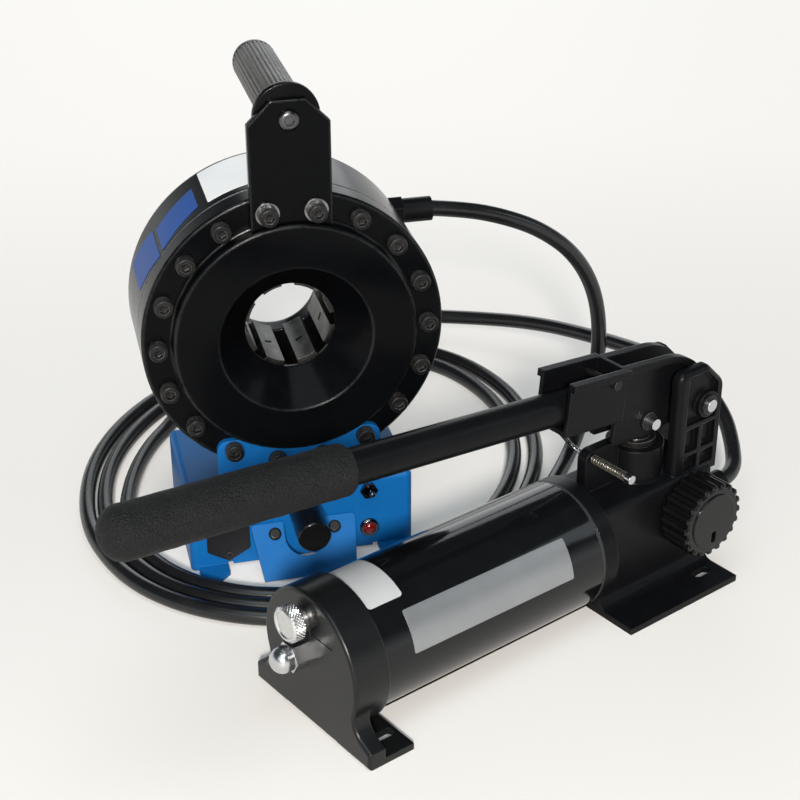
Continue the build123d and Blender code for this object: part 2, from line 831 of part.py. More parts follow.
with BuildPart() as cover_screws:
    with BuildSketch(cover_plane.offset(cover_t)):
        with Locations(*cover_places):
            Circle(cover_screw_r)
    extrude(amount=cover_screw_head_h)
    with BuildSketch(cover_plane.offset(cover_t)):
        with Locations(*cover_places):
            Circle(cover_screw_r / 2)
    extrude(amount=-cover_t - sheet_t)
cover_screws.part.label = "cover_screws"
export_step(cover_screws.part, "parts/cover_screws.step")

with BuildPart() as battery_box:
    with BuildSketch(cover_plane):
        Rectangle(battery_w, battery_h - 2 * cover_screw_r - 2 * run_gap)
    extrude(amount=-battery_depth)
battery_box.part.label = "battery_box"
export_step(battery_box.part, "parts/battery_box.step")

# Front cap of the tank, with the front foot
cap_plane = Plane.YZ.offset(front_x)
cap_blend_y = sqrt(cap_r**2 - (tank_z - cap_blend_z) ** 2)
slot_places = [(-slot_pitch_x / 2, side * slot_pitch_y / 2) for side in (-1, 1)]
rear_slot_places = [(slot_pitch_x / 2, side * slot_pitch_y / 2) for side in (-1, 1)]
with BuildPart() as front_cap:
    with BuildSketch(cap_plane) as cap_outline:
        with BuildLine():
            Polyline(
                (-cap_blend_y, cap_blend_z),
                (-foot_w / 2, cap_rib_h),
                (-foot_w / 2, 0),
                (foot_w / 2, 0),
                (foot_w / 2, cap_rib_h),
                (cap_blend_y, cap_blend_z),
            )
            ThreePointArc((cap_blend_y, cap_blend_z), (0, tank_z + cap_r), (-cap_blend_y, cap_blend_z))
        make_face()
        fillet(cap_outline.vertices().group_by(Axis.Y)[-1], radius=cap_blend_r)
    extrude(amount=cap_rib_t)
    fillet(front_cap.faces().sort_by(Axis.X)[0].edges(), radius=cap_edge_r)
    with BuildSketch(cap_plane.offset(cap_rib_t)):
        with Locations((0, tank_z)):
            Circle(cap_r)
    extrude(amount=cap_len - cap_rib_t)
    with BuildSketch(Plane.XY):
        with Locations((front_x + cap_rib_t, 0)):
            Rectangle(cap_foot_len - cap_rib_t, foot_w, align=(Align.MIN, Align.CENTER))
    extrude(amount=foot_t)
    with BuildSketch(Plane.XY):
        with Locations(*slot_places):
            SlotOverall(slot_len, slot_w)
    extrude(amount=foot_t, mode=Mode.SUBTRACT)
    with BuildSketch(cap_plane.offset(cap_floor)):
        with Locations((0, tank_z)):
            Circle(tank_r + hole_play)
    extrude(amount=cap_len, mode=Mode.SUBTRACT)
    with BuildSketch(cap_plane):
        with Locations((tie_y, tie_z)):
            Circle(tie_rod_r + hole_play)
        with Locations((fill_y, fill_z)):
            Circle(fill_stem_r + fit)
    extrude(amount=cap_floor, mode=Mode.SUBTRACT)
    with BuildSketch(cap_plane):
        with Locations((0, cap_arch_h / 2)):
            Rectangle(cap_arch_w, cap_arch_h)
    extrude(amount=cap_rib_t, mode=Mode.SUBTRACT)
front_cap.part.label = "front_cap"
export_step(front_cap.part, "parts/front_cap.step")

# Tank tube between two flat gaskets
tank_front_x = front_x + cap_floor
with BuildPart() as tank_tube:
    with BuildSketch(Plane.YZ.offset(tank_front_x + gasket_t)):
        with Locations((0, tank_z)):
            Circle(tank_r)
            Circle(tank_r - tank_wall, mode=Mode.SUBTRACT)
    extrude(amount=tank_end_x - tank_front_x - 2 * gasket_t)
tank_tube.part.label = "tank_tube"
export_step(tank_tube.part, "parts/tank_tube.step")

with BuildPart() as tank_gaskets:
    for gasket_x in (tank_front_x, tank_end_x - gasket_t):
        with BuildSketch(Plane.YZ.offset(gasket_x)):
            with Locations((0, tank_z)):
                Circle(tank_r)
                Circle(tank_r - tank_wall, mode=Mode.SUBTRACT)
        extrude(amount=gasket_t)
tank_gaskets.part.label = "tank_gaskets"
export_step(tank_gaskets.part, "parts/tank_gaskets.step")

# Pump block: round flange, body on its foot, boss, latch lug and the two ears of the post
boss_at_x = tank_end_x + boss_x
pivot_at_x = tank_end_x + pivot_x
valve_at_x = tank_end_x + valve_x
latch_at_x = tank_end_x + latch_x
ear_low = block_h - ear_rim
ear_out = ear_in + ear_t
ear_points = [
    (tank_end_x + ear_x0, ear_low),
    (tank_end_x + ear_x1, ear_low),
    (tank_end_x + ear_x1, ear_top - ear_chamfer),
    (tank_end_x + ear_x1 - ear_chamfer, ear_top),
    (tank_end_x + ear_x0, ear_top),
]
pocket_low = block_h + block_crown
pocket_x0 = tank_end_x + ear_x0 + ear_front_rim
pocket_x1 = tank_end_x + ear_x1 - ear_rim
with BuildPart() as pump_block:
    with BuildSketch(Plane.XZ.offset(ear_in)) as ear_outline:
        Polygon(*ear_points, align=None)
        fillet(ear_outline.vertices().group_by(Axis.Y)[-1], radius=ear_corner_r)
    extrude(amount=ear_t)
    front_edges = pump_block.edges().filter_by(Axis.Z).group_by(Axis.X)[0]
    fillet(front_edges.sort_by(Axis.Y)[0], radius=ear_edge_r)
    with BuildSketch(Plane.XZ.offset(ear_out)):
        Polygon(
            (pocket_x0, pocket_low),
            (pocket_x1, pocket_low),
            (pocket_x1, ear_top - ear_chamfer - ear_rim / 2),
            (tank_end_x + ear_x1 - ear_chamfer - ear_rim / 2, ear_top - ear_rim),
            (pocket_x0, ear_top - ear_rim),
            align=None,
        )
        for rib_z in ear_rib_z:
            with Locations(((pocket_x0 + pocket_x1) / 2, rib_z)):
                Rectangle(ear_x1 - ear_x0, ear_rib_t, mode=Mode.SUBTRACT)
        with Locations(((pocket_x0 + pocket_x1) / 2, ear_low)):
            Rectangle(ear_rib_t, ear_rib_z[-1] - ear_low, align=(Align.CENTER, Align.MIN), mode=Mode.SUBTRACT)
        with Locations((pivot_at_x, pivot_z)):
            Circle(ear_boss_r, mode=Mode.SUBTRACT)
    extrude(amount=-ear_pocket, mode=Mode.SUBTRACT)
    mirror(about=Plane.XZ)
    with BuildSketch(Plane.YZ.offset(block_x)) as block_outline:
        with BuildLine():
            Polyline(
                (block_w / 2, block_h),
                (block_w / 2, foot_t),
                (foot_w / 2, foot_t),
                (foot_w / 2, 0),
                (-foot_w / 2, 0),
                (-foot_w / 2, foot_t),
                (-block_w / 2, foot_t),
                (-block_w / 2, block_h),
            )
            ThreePointArc((-block_w / 2, block_h), (0, block_h + block_crown), (block_w / 2, block_h))
        make_face()
        inner_corners = block_outline.vertices().group_by(Axis.Y)[1].sort_by(Axis.X)[1:3]
        fillet(inner_corners, radius=block_blend_r)
        fillet(block_outline.vertices().group_by(Axis.Y)[-1], radius=block_edge_r)
    extrude(amount=block_len)
    with BuildSketch(Plane.YZ.offset(tank_end_x)):
        with Locations((0, tank_z)):
            Circle(tank_r)
    extrude(amount=flange_len)
    with BuildSketch(Plane.YZ.offset(tank_end_x)):
        with Locations((0, tank_z)):
            Circle(tank_r - tank_wall - spigot_play)
    extrude(amount=-spigot_len)
    with BuildSketch(Plane.XY.offset(block_h / 2)):
        with Locations((boss_at_x, 0)):
            Circle(boss_r)
    extrude(amount=boss_top - block_h / 2)
    with BuildSketch(Plane.XZ) as lug_outline:
        Polygon(
            (tank_end_x + lug_x, block_h / 2),
            (boss_at_x - boss_r + lug_bite, block_h / 2),
            (boss_at_x - boss_r + lug_bite, lug_top),
            (tank_end_x + lug_x, lug_top),
            align=None,
        )
        fillet(lug_outline.vertices().group_by(Axis.Y)[-1].sort_by(Axis.X)[0], radius=lug_corner_r)
    extrude(amount=lug_t / 2, both=True)
    with BuildSketch(Plane.XY.offset(boss_top)):
        with Locations((boss_at_x, 0)):
            Circle(plunger_r + fit)
    extrude(amount=bore_floor - boss_top, mode=Mode.SUBTRACT)
    with BuildSketch(Plane.XZ):
        with Locations((pivot_at_x, pivot_z)):
            Circle(pivot_r + hole_play)
        with Locations((latch_at_x, latch_z)):
            Circle(latch_rod_r + fit)
    extrude(amount=2 * ear_out, both=True, mode=Mode.SUBTRACT)
    with BuildSketch(Plane.XZ.offset(block_w / 2)):
        with Locations((valve_at_x, valve_z)):
            Circle(valve_stem_r + fit)
    extrude(amount=-valve_bite - run_gap, mode=Mode.SUBTRACT)
    with BuildSketch(Plane.YZ.offset(tank_end_x - spigot_len)):
        with Locations((tie_y, tie_z)):
            Circle(tie_rod_r + hole_play)
    extrude(amount=spigot_len + tie_bite, mode=Mode.SUBTRACT)
    with BuildSketch(Plane.YZ.offset(block_end_x)):
        with Locations((0, outlet_z)):
            Circle(port_r)
    extrude(amount=-outlet_bore, mode=Mode.SUBTRACT)
    with BuildSketch(Plane.XY):
        with Locations(*rear_slot_places):
            SlotOverall(slot_len, slot_w)
    extrude(amount=foot_t + block_blend_r, mode=Mode.SUBTRACT)
pump_block.part.label = "pump_block"
export_step(pump_block.part, "parts/pump_block.step")

# Tie rod through the tank, closed by an acorn nut
with BuildPart() as tie_rod:
    with BuildSketch(Plane.YZ.offset(front_x - nut_t)):
        with Locations((tie_y, tie_z)):
            Circle(tie_rod_r)
    extrude(amount=nut_t + tank_end_x + tie_bite - front_x)
tie_rod.part.label = "tie_rod"
export_step(tie_rod.part, "parts/tie_rod.step")

with BuildPart() as acorn_nut:
    with BuildSketch(cap_plane.offset(-nut_t)):
        with Locations((tie_y, tie_z)):
            Circle(nut_dome_r)
    extrude(amount=-nut_dome_len)
    fillet(acorn_nut.faces().sort_by(Axis.X)[0].edges(), radius=nut_dome_r * nut_dome_round)
    with BuildSketch(cap_plane):
        with Locations((tie_y, tie_z)):
            RegularPolygon(nut_af / 2, 6, major_radius=False)
    extrude(amount=-nut_t)
    with BuildSketch(cap_plane):
        with Locations((tie_y, tie_z)):
            Circle(tie_rod_r + hole_play)
    extrude(amount=-nut_t, mode=Mode.SUBTRACT)
acorn_nut.part.label = "acorn_nut"
export_step(acorn_nut.part, "parts/acorn_nut.step")

# Fill cap with its neck and stem
with BuildPart() as fill_cap:
    with BuildSketch(cap_plane.offset(-run_gap)):
        with Locations((fill_y, fill_z)):
            Circle(fill_neck_r)
    extrude(amount=-fill_neck_t)
    with BuildSketch(cap_plane.offset(-run_gap - fill_neck_t)):
        with Locations((fill_y, fill_z)):
            Circle(fill_cap_r)
    extrude(amount=-fill_cap_t)
    with BuildSketch(cap_plane.offset(-run_gap)):
        with Locations((fill_y, fill_z)):
            Circle(fill_stem_r)
    extrude(amount=cap_rib_t)
fill_cap.part.label = "fill_cap"
export_step(fill_cap.part, "parts/fill_cap.step")

# Plunger with a slotted eye, guided by a gland on the boss
tongue_low = boss_top + gland_t + pin_lift_play
eye_r = plunger_pin_r + pin_lift_play
with BuildPart() as plunger:
    with BuildSketch(Plane.XY.offset(plunger_low)):
        with Locations((boss_at_x, 0)):
            Circle(plunger_r)
    extrude(amount=tongue_low - plunger_low)
    with BuildSketch(Plane.XZ):
        Polygon(
            (boss_at_x - eye_r - tongue_wall, tongue_low),
            (boss_at_x + eye_r + pin_swing + tongue_wall, tongue_low),
            (boss_at_x + eye_r + pin_swing + tongue_wall, plunger_pin_z + eye_r + tongue_wall),
            (boss_at_x - eye_r - tongue_wall, plunger_pin_z + eye_r + tongue_wall),
            align=None,
        )
        with Locations((boss_at_x + pin_swing / 2, plunger_pin_z)):
            SlotOverall(2 * eye_r + pin_swing, 2 * eye_r, mode=Mode.SUBTRACT)
    extrude(amount=tongue_t / 2, both=True)
plunger.part.label = "plunger"
export_step(plunger.part, "parts/plunger.step")

with BuildPart() as gland_nut:
    with BuildSketch(Plane.XY.offset(boss_top)):
        with Locations((boss_at_x, 0)):
            Circle(gland_r)
            Circle(plunger_r + fit, mode=Mode.SUBTRACT)
    extrude(amount=gland_t)
gland_nut.part.label = "gland_nut"
export_step(gland_nut.part, "parts/gland_nut.step")

# Lever plane through the pivot: x along the handle, y up, z across to the head's side
tilt = radians(handle_tilt)
arm = Plane(origin=(pivot_at_x, 0, pivot_z), x_dir=(-cos(tilt), 0, sin(tilt)), z_dir=(0, 1, 0))
pin = arm.to_local_coords(Vector(boss_at_x, 0, plunger_pin_z))
ridge_y = handle_rise + yoke_ridge
lip_y = ridge_y - yoke_lip_h
web_top = handle_rise - tube_r - hole_play
web_low = web_top - yoke_t
plate_in = yoke_gap / 2
plate_out = plate_in + yoke_t
socket_in = tube_r + hole_play
socket_out = socket_in + yoke_t
socket_rear = yoke_neck - yoke_t
bolt_y = handle_rise + yoke_bolt_up

# Yoke: two plates with outward lips, joined by the socket that holds the handle
with BuildPart() as yoke:
    with BuildSketch(arm.offset(plate_in)) as plate_outline:
        with BuildLine():
            Polyline(
                (-yoke_lobe_r, 0),
                (0, -yoke_lobe_r),
                (pin.X, pin.Y - yoke_pin_lobe_r),
                (yoke_neck, pin.Y - yoke_pin_lobe_r),
                (yoke_neck, ridge_y),
                (yoke_arc_x, ridge_y),
            )
            TangentArc((yoke_arc_x, ridge_y), (-yoke_lobe_r, 0), tangent=(-1, 0))
        make_face()
        skirt_corners = plate_outline.vertices().group_by(Axis.X)[-1]
        fillet(skirt_corners.sort_by(Axis.Y)[0], radius=yoke_skirt_r)
        Circle(yoke_lobe_r)
        with Locations((pin.X, pin.Y)):
            Circle(yoke_pin_lobe_r)
    extrude(amount=yoke_t)
    with BuildSketch(arm.offset(plate_out)):
        with BuildLine():
            Polyline((yoke_arc_x, lip_y), (yoke_neck, lip_y), (yoke_neck, ridge_y), (yoke_arc_x, ridge_y))
            TangentArc((yoke_arc_x, ridge_y), (-yoke_lobe_r, 0), tangent=(-1, 0))
            Line((-yoke_lobe_r, 0), (yoke_lip_h - yoke_lobe_r, 0))
            TangentArc((yoke_arc_x, lip_y), (yoke_lip_h - yoke_lobe_r, 0), tangent=(-1, 0))
        make_face()
    extrude(amount=yoke_lip_w)
    with BuildSketch(arm.offset(plate_out)):
        Circle(yoke_hub_r)
    extrude(amount=ear_in - run_gap - plate_out)
    with BuildSketch(arm.offset(socket_in)):
        with Locations((socket_rear, web_low)):
            Rectangle(yoke_front - socket_rear, ridge_y - web_low, align=(Align.MIN, Align.MIN))
    extrude(amount=yoke_t)
    with BuildSketch(arm.offset(socket_out)):
        with Locations((socket_rear, ridge_y)):
            Rectangle(yoke_front - socket_rear, yoke_lip_h, align=(Align.MIN, Align.MAX))
    extrude(amount=yoke_lip_w)
    mirror(about=Plane.XZ)
    with BuildSketch(arm):
        with Locations((socket_rear, web_low)):
            Rectangle(yoke_front - socket_rear, yoke_t, align=(Align.MIN, Align.MIN))
            Rectangle(yoke_t, ridge_y - web_low, align=(Align.MIN, Align.MIN))
    extrude(amount=socket_out, both=True)
    with BuildSketch(arm):
        Circle(pivot_r + fit)
        with Locations((pin.X, pin.Y)):
            Circle(plunger_pin_r + hole_play)
        with Locations((yoke_bolt_x, bolt_y)):
            Circle(yoke_bolt_r + hole_play)
    extrude(amount=ear_out, both=True, mode=Mode.SUBTRACT)
yoke.part.label = "yoke"
export_step(yoke.part, "parts/yoke.step")

# Clamp bolt of the socket, above the handle
with BuildPart() as yoke_bolt:
    with BuildSketch(arm):
        with Locations((yoke_bolt_x, bolt_y)):
            Circle(yoke_bolt_r)
    extrude(amount=socket_out, both=True)
    with BuildSketch(arm.offset(socket_out)):
        with Locations((yoke_bolt_x, bolt_y)):
            Circle(yoke_bolt_head_r)
    extrude(amount=yoke_bolt_head_h)
    mirror(about=Plane.XZ)
yoke_bolt.part.label = "yoke_bolt"
export_step(yoke_bolt.part, "parts/yoke_bolt.step")

handle_start = Plane(origin=arm.from_local_coords((yoke_neck, handle_rise, 0)), z_dir=arm.x_dir)
grip_start = grip_tip - grip_len
with BuildPart() as handle_tube:
    with BuildSketch(handle_start):
        Circle(tube_r)
        Circle(tube_r - tube_wall, mode=Mode.SUBTRACT)
    extrude(amount=grip_tip - grip_cover - yoke_neck)
handle_tube.part.label = "handle_tube"
export_step(handle_tube.part, "parts/handle_tube.step")

with BuildPart() as handle_grip:
    with BuildSketch(handle_start.offset(grip_start - yoke_neck)):
        Circle(grip_r)
    extrude(amount=grip_len)
    fillet(handle_grip.faces().sort_by(Axis.X)[0].edges(), radius=grip_round)
    with BuildSketch(handle_start.offset(grip_start - yoke_neck)):
        Circle(tube_r + fit)
    extrude(amount=grip_len - grip_cover, mode=Mode.SUBTRACT)
handle_grip.part.label = "handle_grip"
export_step(handle_grip.part, "parts/handle_grip.step")

# Pivot pin in the ears and plunger pin in the yoke, each held by a clip at both ends
with BuildPart() as pivot_pin:
    with BuildSketch(arm):
        Circle(pivot_r)
    extrude(amount=ear_out + pivot_end, both=True)
pivot_pin.part.label = "pivot_pin"
export_step(pivot_pin.part, "parts/pivot_pin.step")

with BuildPart() as pivot_clips:
    with BuildSketch(arm.offset(ear_out)):
        Circle(pivot_r + clip_w)
        Circle(pivot_r, mode=Mode.SUBTRACT)
    extrude(amount=clip_t)
    mirror(about=Plane.XZ)
pivot_clips.part.label = "pivot_clips"
export_step(pivot_clips.part, "parts/pivot_clips.step")

with BuildPart() as plunger_pin:
    with BuildSketch(arm):
        with Locations((pin.X, pin.Y)):
            Circle(plunger_pin_r)
    extrude(amount=plunger_pin_end, both=True)
plunger_pin.part.label = "plunger_pin"
export_step(plunger_pin.part, "parts/plunger_pin.step")

with BuildPart() as plunger_clips:
    with BuildSketch(arm.offset(plate_out)):
        with Locations((pin.X, pin.Y)):
            Circle(plunger_pin_r + clip_w)
            Circle(plunger_pin_r, mode=Mode.SUBTRACT)
    extrude(amount=clip_t)
    mirror(about=Plane.XZ)
plunger_clips.part.label = "plunger_clips"
export_step(plunger_clips.part, "parts/plunger_clips.step")

# Release knob with its grip ribs, on the valve stem
valve_plane = Plane.XZ.offset(block_w / 2 + valve_knob_gap)
with BuildPart() as release_knob:
    with BuildSketch(valve_plane):
        with Locations((valve_at_x, valve_z)):
            Circle(valve_knob_r)
            with PolarLocations(valve_knob_r, valve_ribs):
                Circle(valve_rib_r)
    extrude(amount=valve_knob_t)
    chamfer(release_knob.faces().sort_by(Axis.Y)[0].edges(), length=valve_edge)
    with BuildSketch(valve_plane.offset(valve_knob_t)):
        with Locations((valve_at_x, valve_z)):
            Circle(valve_disc_r)
    extrude(amount=valve_disc_h)
    fillet(release_knob.faces().sort_by(Axis.Y)[0].edges(), radius=valve_disc_edge)
    with BuildSketch(valve_plane.offset(valve_knob_t + valve_disc_h)):
        with Locations((valve_at_x, valve_z - valve_key_down)):
            SlotOverall(valve_key_len, valve_key_w, rotation=90)
    extrude(amount=-valve_key_depth, mode=Mode.SUBTRACT)
    with BuildSketch(valve_plane):
        with Locations((valve_at_x, valve_z)):
            Circle(valve_stem_r)
    extrude(amount=valve_knob_bite, mode=Mode.SUBTRACT)
release_knob.part.label = "release_knob"
export_step(release_knob.part, "parts/release_knob.step")

with BuildPart() as valve_stem:
    with BuildSketch(valve_plane.offset(valve_knob_bite)):
        with Locations((valve_at_x, valve_z)):
            Circle(valve_stem_r)
    extrude(amount=-valve_knob_bite - valve_knob_gap - valve_bite)
valve_stem.part.label = "valve_stem"
export_step(valve_stem.part, "parts/valve_stem.step")

# Carrying latch: rod through the lug, with a hooked wire that reaches under the yoke
hook_at_x = latch_at_x - latch_hook_x
hook_z = pivot_z + (pivot_at_x - hook_at_x) * tan(tilt) + web_low / cos(tilt) - latch_hook_gap
with BuildPart() as latch_rod:
    with BuildSketch(Plane.XZ.offset(-latch_far)):
        with Locations((latch_at_x, latch_z)):
            Circle(latch_rod_r)
    extrude(amount=latch_far + latch_reach)
    with BuildSketch(Plane.XZ.offset(latch_reach - latch_button_t)):
        with Locations((latch_at_x, latch_z)):
            Circle(latch_button_r)
    extrude(amount=latch_button_t)
    with BuildLine() as hook:
        FilletPolyline(
            (latch_at_x, latch_far - latch_wire_r, latch_z),
            (latch_at_x, latch_wire_run, latch_z),
            (hook_at_x, latch_wire_run, hook_z),
            (hook_at_x, -latch_wire_run / 2, hook_z),
            radius=latch_bend_r,
        )
    with BuildSketch(Plane(origin=hook.line @ 0, z_dir=hook.line % 0)):
        Circle(latch_wire_r)
    sweep()
latch_rod.part.label = "latch_rod"
export_step(latch_rod.part, "parts/latch_rod.step")

# Return spring wound round the latch rod: half turns, each of two arcs that meet in line
spring_start_y = -(lug_t / 2 + run_gap + spring_wire_r)
spring_rise = spring_len / (2 * spring_turns)
spring_slope = spring_rise / (pi * spring_r)
spring_knots = []
for half in range(2 * spring_turns + 1):
    side = 1 if half % 2 == 0 else -1
    knot = Vector(latch_at_x + side * spring_r, spring_start_y - half * spring_rise, latch_z)
    heading = Vector(0, -spring_slope, side).normalized()
    spring_knots.append((knot, heading))
with BuildPart() as latch_spring:
    with BuildLine() as spring_line:
        for (knot, heading), (next_knot, next_heading) in zip(spring_knots, spring_knots[1:]):
            step = next_knot - knot
            along = step.dot(heading + next_heading)
            square = 2 * heading.dot(next_heading) - 2
            reach = (along - sqrt(along**2 - square * step.dot(step))) / square
            middle = (knot + heading * reach + next_knot - next_heading * reach) / 2
            TangentArc(knot, middle, tangent=heading)
            TangentArc(middle, next_knot, tangent=middle - knot - heading * reach)
    with BuildSketch(Plane(origin=spring_line.line @ 0, z_dir=spring_line.line % 0)):
        Circle(spring_wire_r)
    sweep()
latch_spring.part.label = "latch_spring"
export_step(latch_spring.part, "parts/latch_spring.step")
spring_gap = 2 * spring_rise - 2 * spring_wire_r
print(f"latch spring: {spring_turns} turns, gap between turns {spring_gap:.2f} mm")

# Elbow on the head's rear port, with its arm to the right
rear_port = face.offset(-head_len).from_local_coords(
    (port_ring_r * cos(radians(port_angle)), port_ring_r * sin(radians(port_angle)), 0)
)
port_plane = Plane(origin=rear_port, x_dir=head_right, z_dir=-head_front)
elbow_middle = rear_port - head_front * elbow_out
arm_plane = Plane(origin=elbow_middle, x_dir=(0, 0, 1), z_dir=head_right)
with BuildPart() as inlet_elbow:
    with BuildSketch(port_plane):
        RegularPolygon(elbow_hex / 2, 6, major_radius=False)
    extrude(amount=elbow_hex_t)
    with BuildSketch(port_plane):
        Circle(elbow_r)
    extrude(amount=elbow_out + elbow_r)
    with BuildSketch(arm_plane):
        Circle(elbow_arm_r)
    extrude(amount=elbow_arm)
inlet_elbow.part.label = "inlet_elbow"
export_step(inlet_elbow.part, "parts/inlet_elbow.step")

# Outlet adapter in the rear face of the pump block
with BuildPart() as outlet_fitting:
    with BuildSketch(Plane.YZ.offset(block_end_x)):
        with Locations((0, outlet_z)):
            RegularPolygon(outlet_hex / 2, 6, major_radius=False)
    extrude(amount=outlet_len)
    with BuildSketch(Plane.YZ.offset(block_end_x)):
        with Locations((0, outlet_z)):
            Circle(port_r - hole_play)
    extrude(amount=-outlet_bore + run_gap)
outlet_fitting.part.label = "outlet_fitting"
export_step(outlet_fitting.part, "parts/outlet_fitting.step")

# Swaged hose ends: a nut and a sleeve at each end of the hose
head_nut = arm_plane.offset(elbow_arm)
outlet_nut = Plane(origin=(block_end_x + outlet_len, 0, outlet_z), x_dir=(0, 1, 0), z_dir=(1, 0, 0))
with BuildPart() as hose_ends:
    for nut_plane in (head_nut, outlet_nut):
        with BuildSketch(nut_plane):
            RegularPolygon(ferrule_hex / 2, 6, major_radius=False)
        extrude(amount=ferrule_nut_t)
        with BuildSketch(nut_plane.offset(ferrule_nut_t)):
            Circle(ferrule_r)
        extrude(amount=ferrule_len)
hose_ends.part.label = "hose_ends"
export_step(hose_ends.part, "parts/hose_ends.step")

# Hose coil on the floor round the stand: flat quarter turns of an oval that winds inwards, clockwise
coil_wide_r = coil_tight_r + coil_shift * sqrt(2)
coil_quarters = round(4 * coil_turns)
coil_heading = coil_tilt - 90
coil_middle = Vector(coil_x, coil_y)
arc_centre = coil_middle - Vector(coil_shift, 0).rotate(Axis.Z, coil_heading)
coil_arcs = []
for quarter in range(coil_quarters + 1):
    last = quarter == coil_quarters
    arc_turn = 45 if quarter == 0 or last else 90
    arc_r = (coil_wide_r if quarter % 2 == 0 else coil_tight_r) - coil_pitch / 4 * quarter
    if last:
        arc_r = coil_end_r
    if coil_arcs:
        arc_centre = arc_centre + Vector(coil_arcs[-1][1] - arc_r, 0).rotate(Axis.Z, coil_heading)
    coil_arcs.append((arc_centre, arc_r, coil_heading, arc_turn))
    coil_heading -= arc_turn
coil_ends = []
for arc_centre, arc_r, arc_start, arc_turn in (coil_arcs[0], (*coil_arcs[-1][:2], coil_heading, 0)):
    spoke = Vector(1, 0).rotate(Axis.Z, arc_start)
    coil_ends.append((arc_centre + spoke * arc_r + Vector(0, 0, hose_r), spoke.rotate(Axis.Z, -90)))
coil_straight = 2 * hose_r
coil_start = coil_ends[0][0] - coil_ends[0][1] * coil_straight
coil_end = coil_ends[1][0] + coil_ends[1][1] * coil_straight
coil_start_run = coil_ends[0][1]
coil_end_run = coil_ends[1][1]
with BuildPart() as hose_coil:
    with BuildLine() as coil_line:
        Line(coil_start, coil_ends[0][0])
        for arc_centre, arc_r, arc_start, arc_turn in coil_arcs:
            CenterArc((arc_centre.X, arc_centre.Y, hose_r), arc_r, arc_start, -arc_turn)
        Line(coil_ends[1][0], coil_end)
    with BuildSketch(Plane(origin=coil_start, z_dir=coil_start_run)):
        Circle(hose_r)
    sweep()
hose_coil.part.label = "hose_coil"
export_step(hose_coil.part, "parts/hose_coil.step")

# Least gap of the coil to itself, measured between points at least half a turn apart
coil_wire = coil_line.wires()[0]
coil_steps = ceil(coil_wire.length / hose_r)
coil_points = [coil_wire @ (step / coil_steps) for step in range(coil_steps + 1)]
half_turn = ceil(pi * coil_tight_r / (coil_wire.length / coil_steps))
coil_gap = min(
    (coil_points[i] - coil_points[j]).length
    for i in range(len(coil_points))
    for j in range(i + half_turn, len(coil_points))
) - 2 * hose_r
coil_share = hose_coil.part.volume / (pi * hose_r**2 * coil_wire.length)
print(f"hose coil: length {coil_wire.length:.0f} mm, least gap to itself {coil_gap:.2f} mm, "
      f"volume share {coil_share:.4f}")

# Free stretches of the hose: from the head down to the coil, and from the coil up to the pump
head_exit = head_nut.from_local_coords((0, 0, ferrule_nut_t + ferrule_len))
pump_exit = outlet_nut.from_local_coords((0, 0, ferrule_nut_t + ferrule_len))
head_lead_points = [
    head_exit,
    head_exit + head_right * lead_out_run,
    Vector(171, 173, 205),
    Vector(200, 164, 176),
    Vector(214, 160, 138),
    Vector(219, 159, 97),
    Vector(217, 159.6, 54),
    Vector(202, 150.7, 23.5),
    coil_start - coil_start_run * lead_down_run,
    coil_start,
]
pump_lead_points = [
    coil_end,
    coil_end + coil_end_run * lead_up_run,
    coil_end + coil_end_run * (lead_up_run + lead_rise_run) + Vector(0, 0, lead_rise),
    Vector(84, 432, 29),
    Vector(149, 425, 32),
    Vector(206, 388, 35),
    Vector(246, 333, 42),
    Vector(270, 270, 52),
    Vector(275, 203, 64),
    Vector(270, 140, 76),
    Vector(268, 72, 82),
    Vector(271, 35, 63.5),
    Vector(255.5, 12, 46),
    pump_exit + Vector(lead_in_run, 0, 0),
    pump_exit,
]
for lead_name, lead_points in (("hose_head_lead", head_lead_points), ("hose_pump_lead", pump_lead_points)):
    lead_radii = []
    for before, corner, after in zip(lead_points, lead_points[1:], lead_points[2:]):
        turn = (corner - before).get_angle(after - corner)
        shorter = min((corner - before).length, (after - corner).length)
        lead_radii.append(lead_share * shorter / tan(radians(turn / 2)))
    with BuildPart() as lead:
        with BuildLine() as lead_line:
            FilletPolyline(*lead_points, radius=lead_radii)
        with BuildSketch(Plane(origin=lead_line.line @ 0, z_dir=lead_line.line % 0)):
            Circle(hose_r)
        sweep()
    lead.part.label = lead_name
    export_step(lead.part, f"parts/{lead_name}.step")
    lead_length = lead_line.wires()[0].length
    share = lead.part.volume / (pi * hose_r**2 * lead_length)
    radii_text = ", ".join(f"{radius:.0f}" for radius in lead_radii)
    print(f"{lead_name}: length {lead_length:.0f} mm, bend radii {radii_text}, volume share {share:.4f}")
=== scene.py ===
import bpy
import bmesh
import math
from mathutils import Matrix, Vector, noise


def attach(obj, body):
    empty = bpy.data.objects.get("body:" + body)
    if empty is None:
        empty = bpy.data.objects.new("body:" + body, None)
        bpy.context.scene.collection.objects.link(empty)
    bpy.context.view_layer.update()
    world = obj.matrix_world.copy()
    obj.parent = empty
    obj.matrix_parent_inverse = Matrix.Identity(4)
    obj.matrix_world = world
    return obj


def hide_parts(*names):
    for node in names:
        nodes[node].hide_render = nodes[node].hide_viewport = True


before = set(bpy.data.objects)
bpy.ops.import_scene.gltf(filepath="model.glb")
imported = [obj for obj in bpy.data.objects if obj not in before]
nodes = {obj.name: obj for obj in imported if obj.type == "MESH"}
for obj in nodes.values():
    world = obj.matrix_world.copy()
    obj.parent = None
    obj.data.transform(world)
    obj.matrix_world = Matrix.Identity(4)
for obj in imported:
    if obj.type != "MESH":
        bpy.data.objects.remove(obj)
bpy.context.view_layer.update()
print("frame loaded:", len(nodes), "nodes")

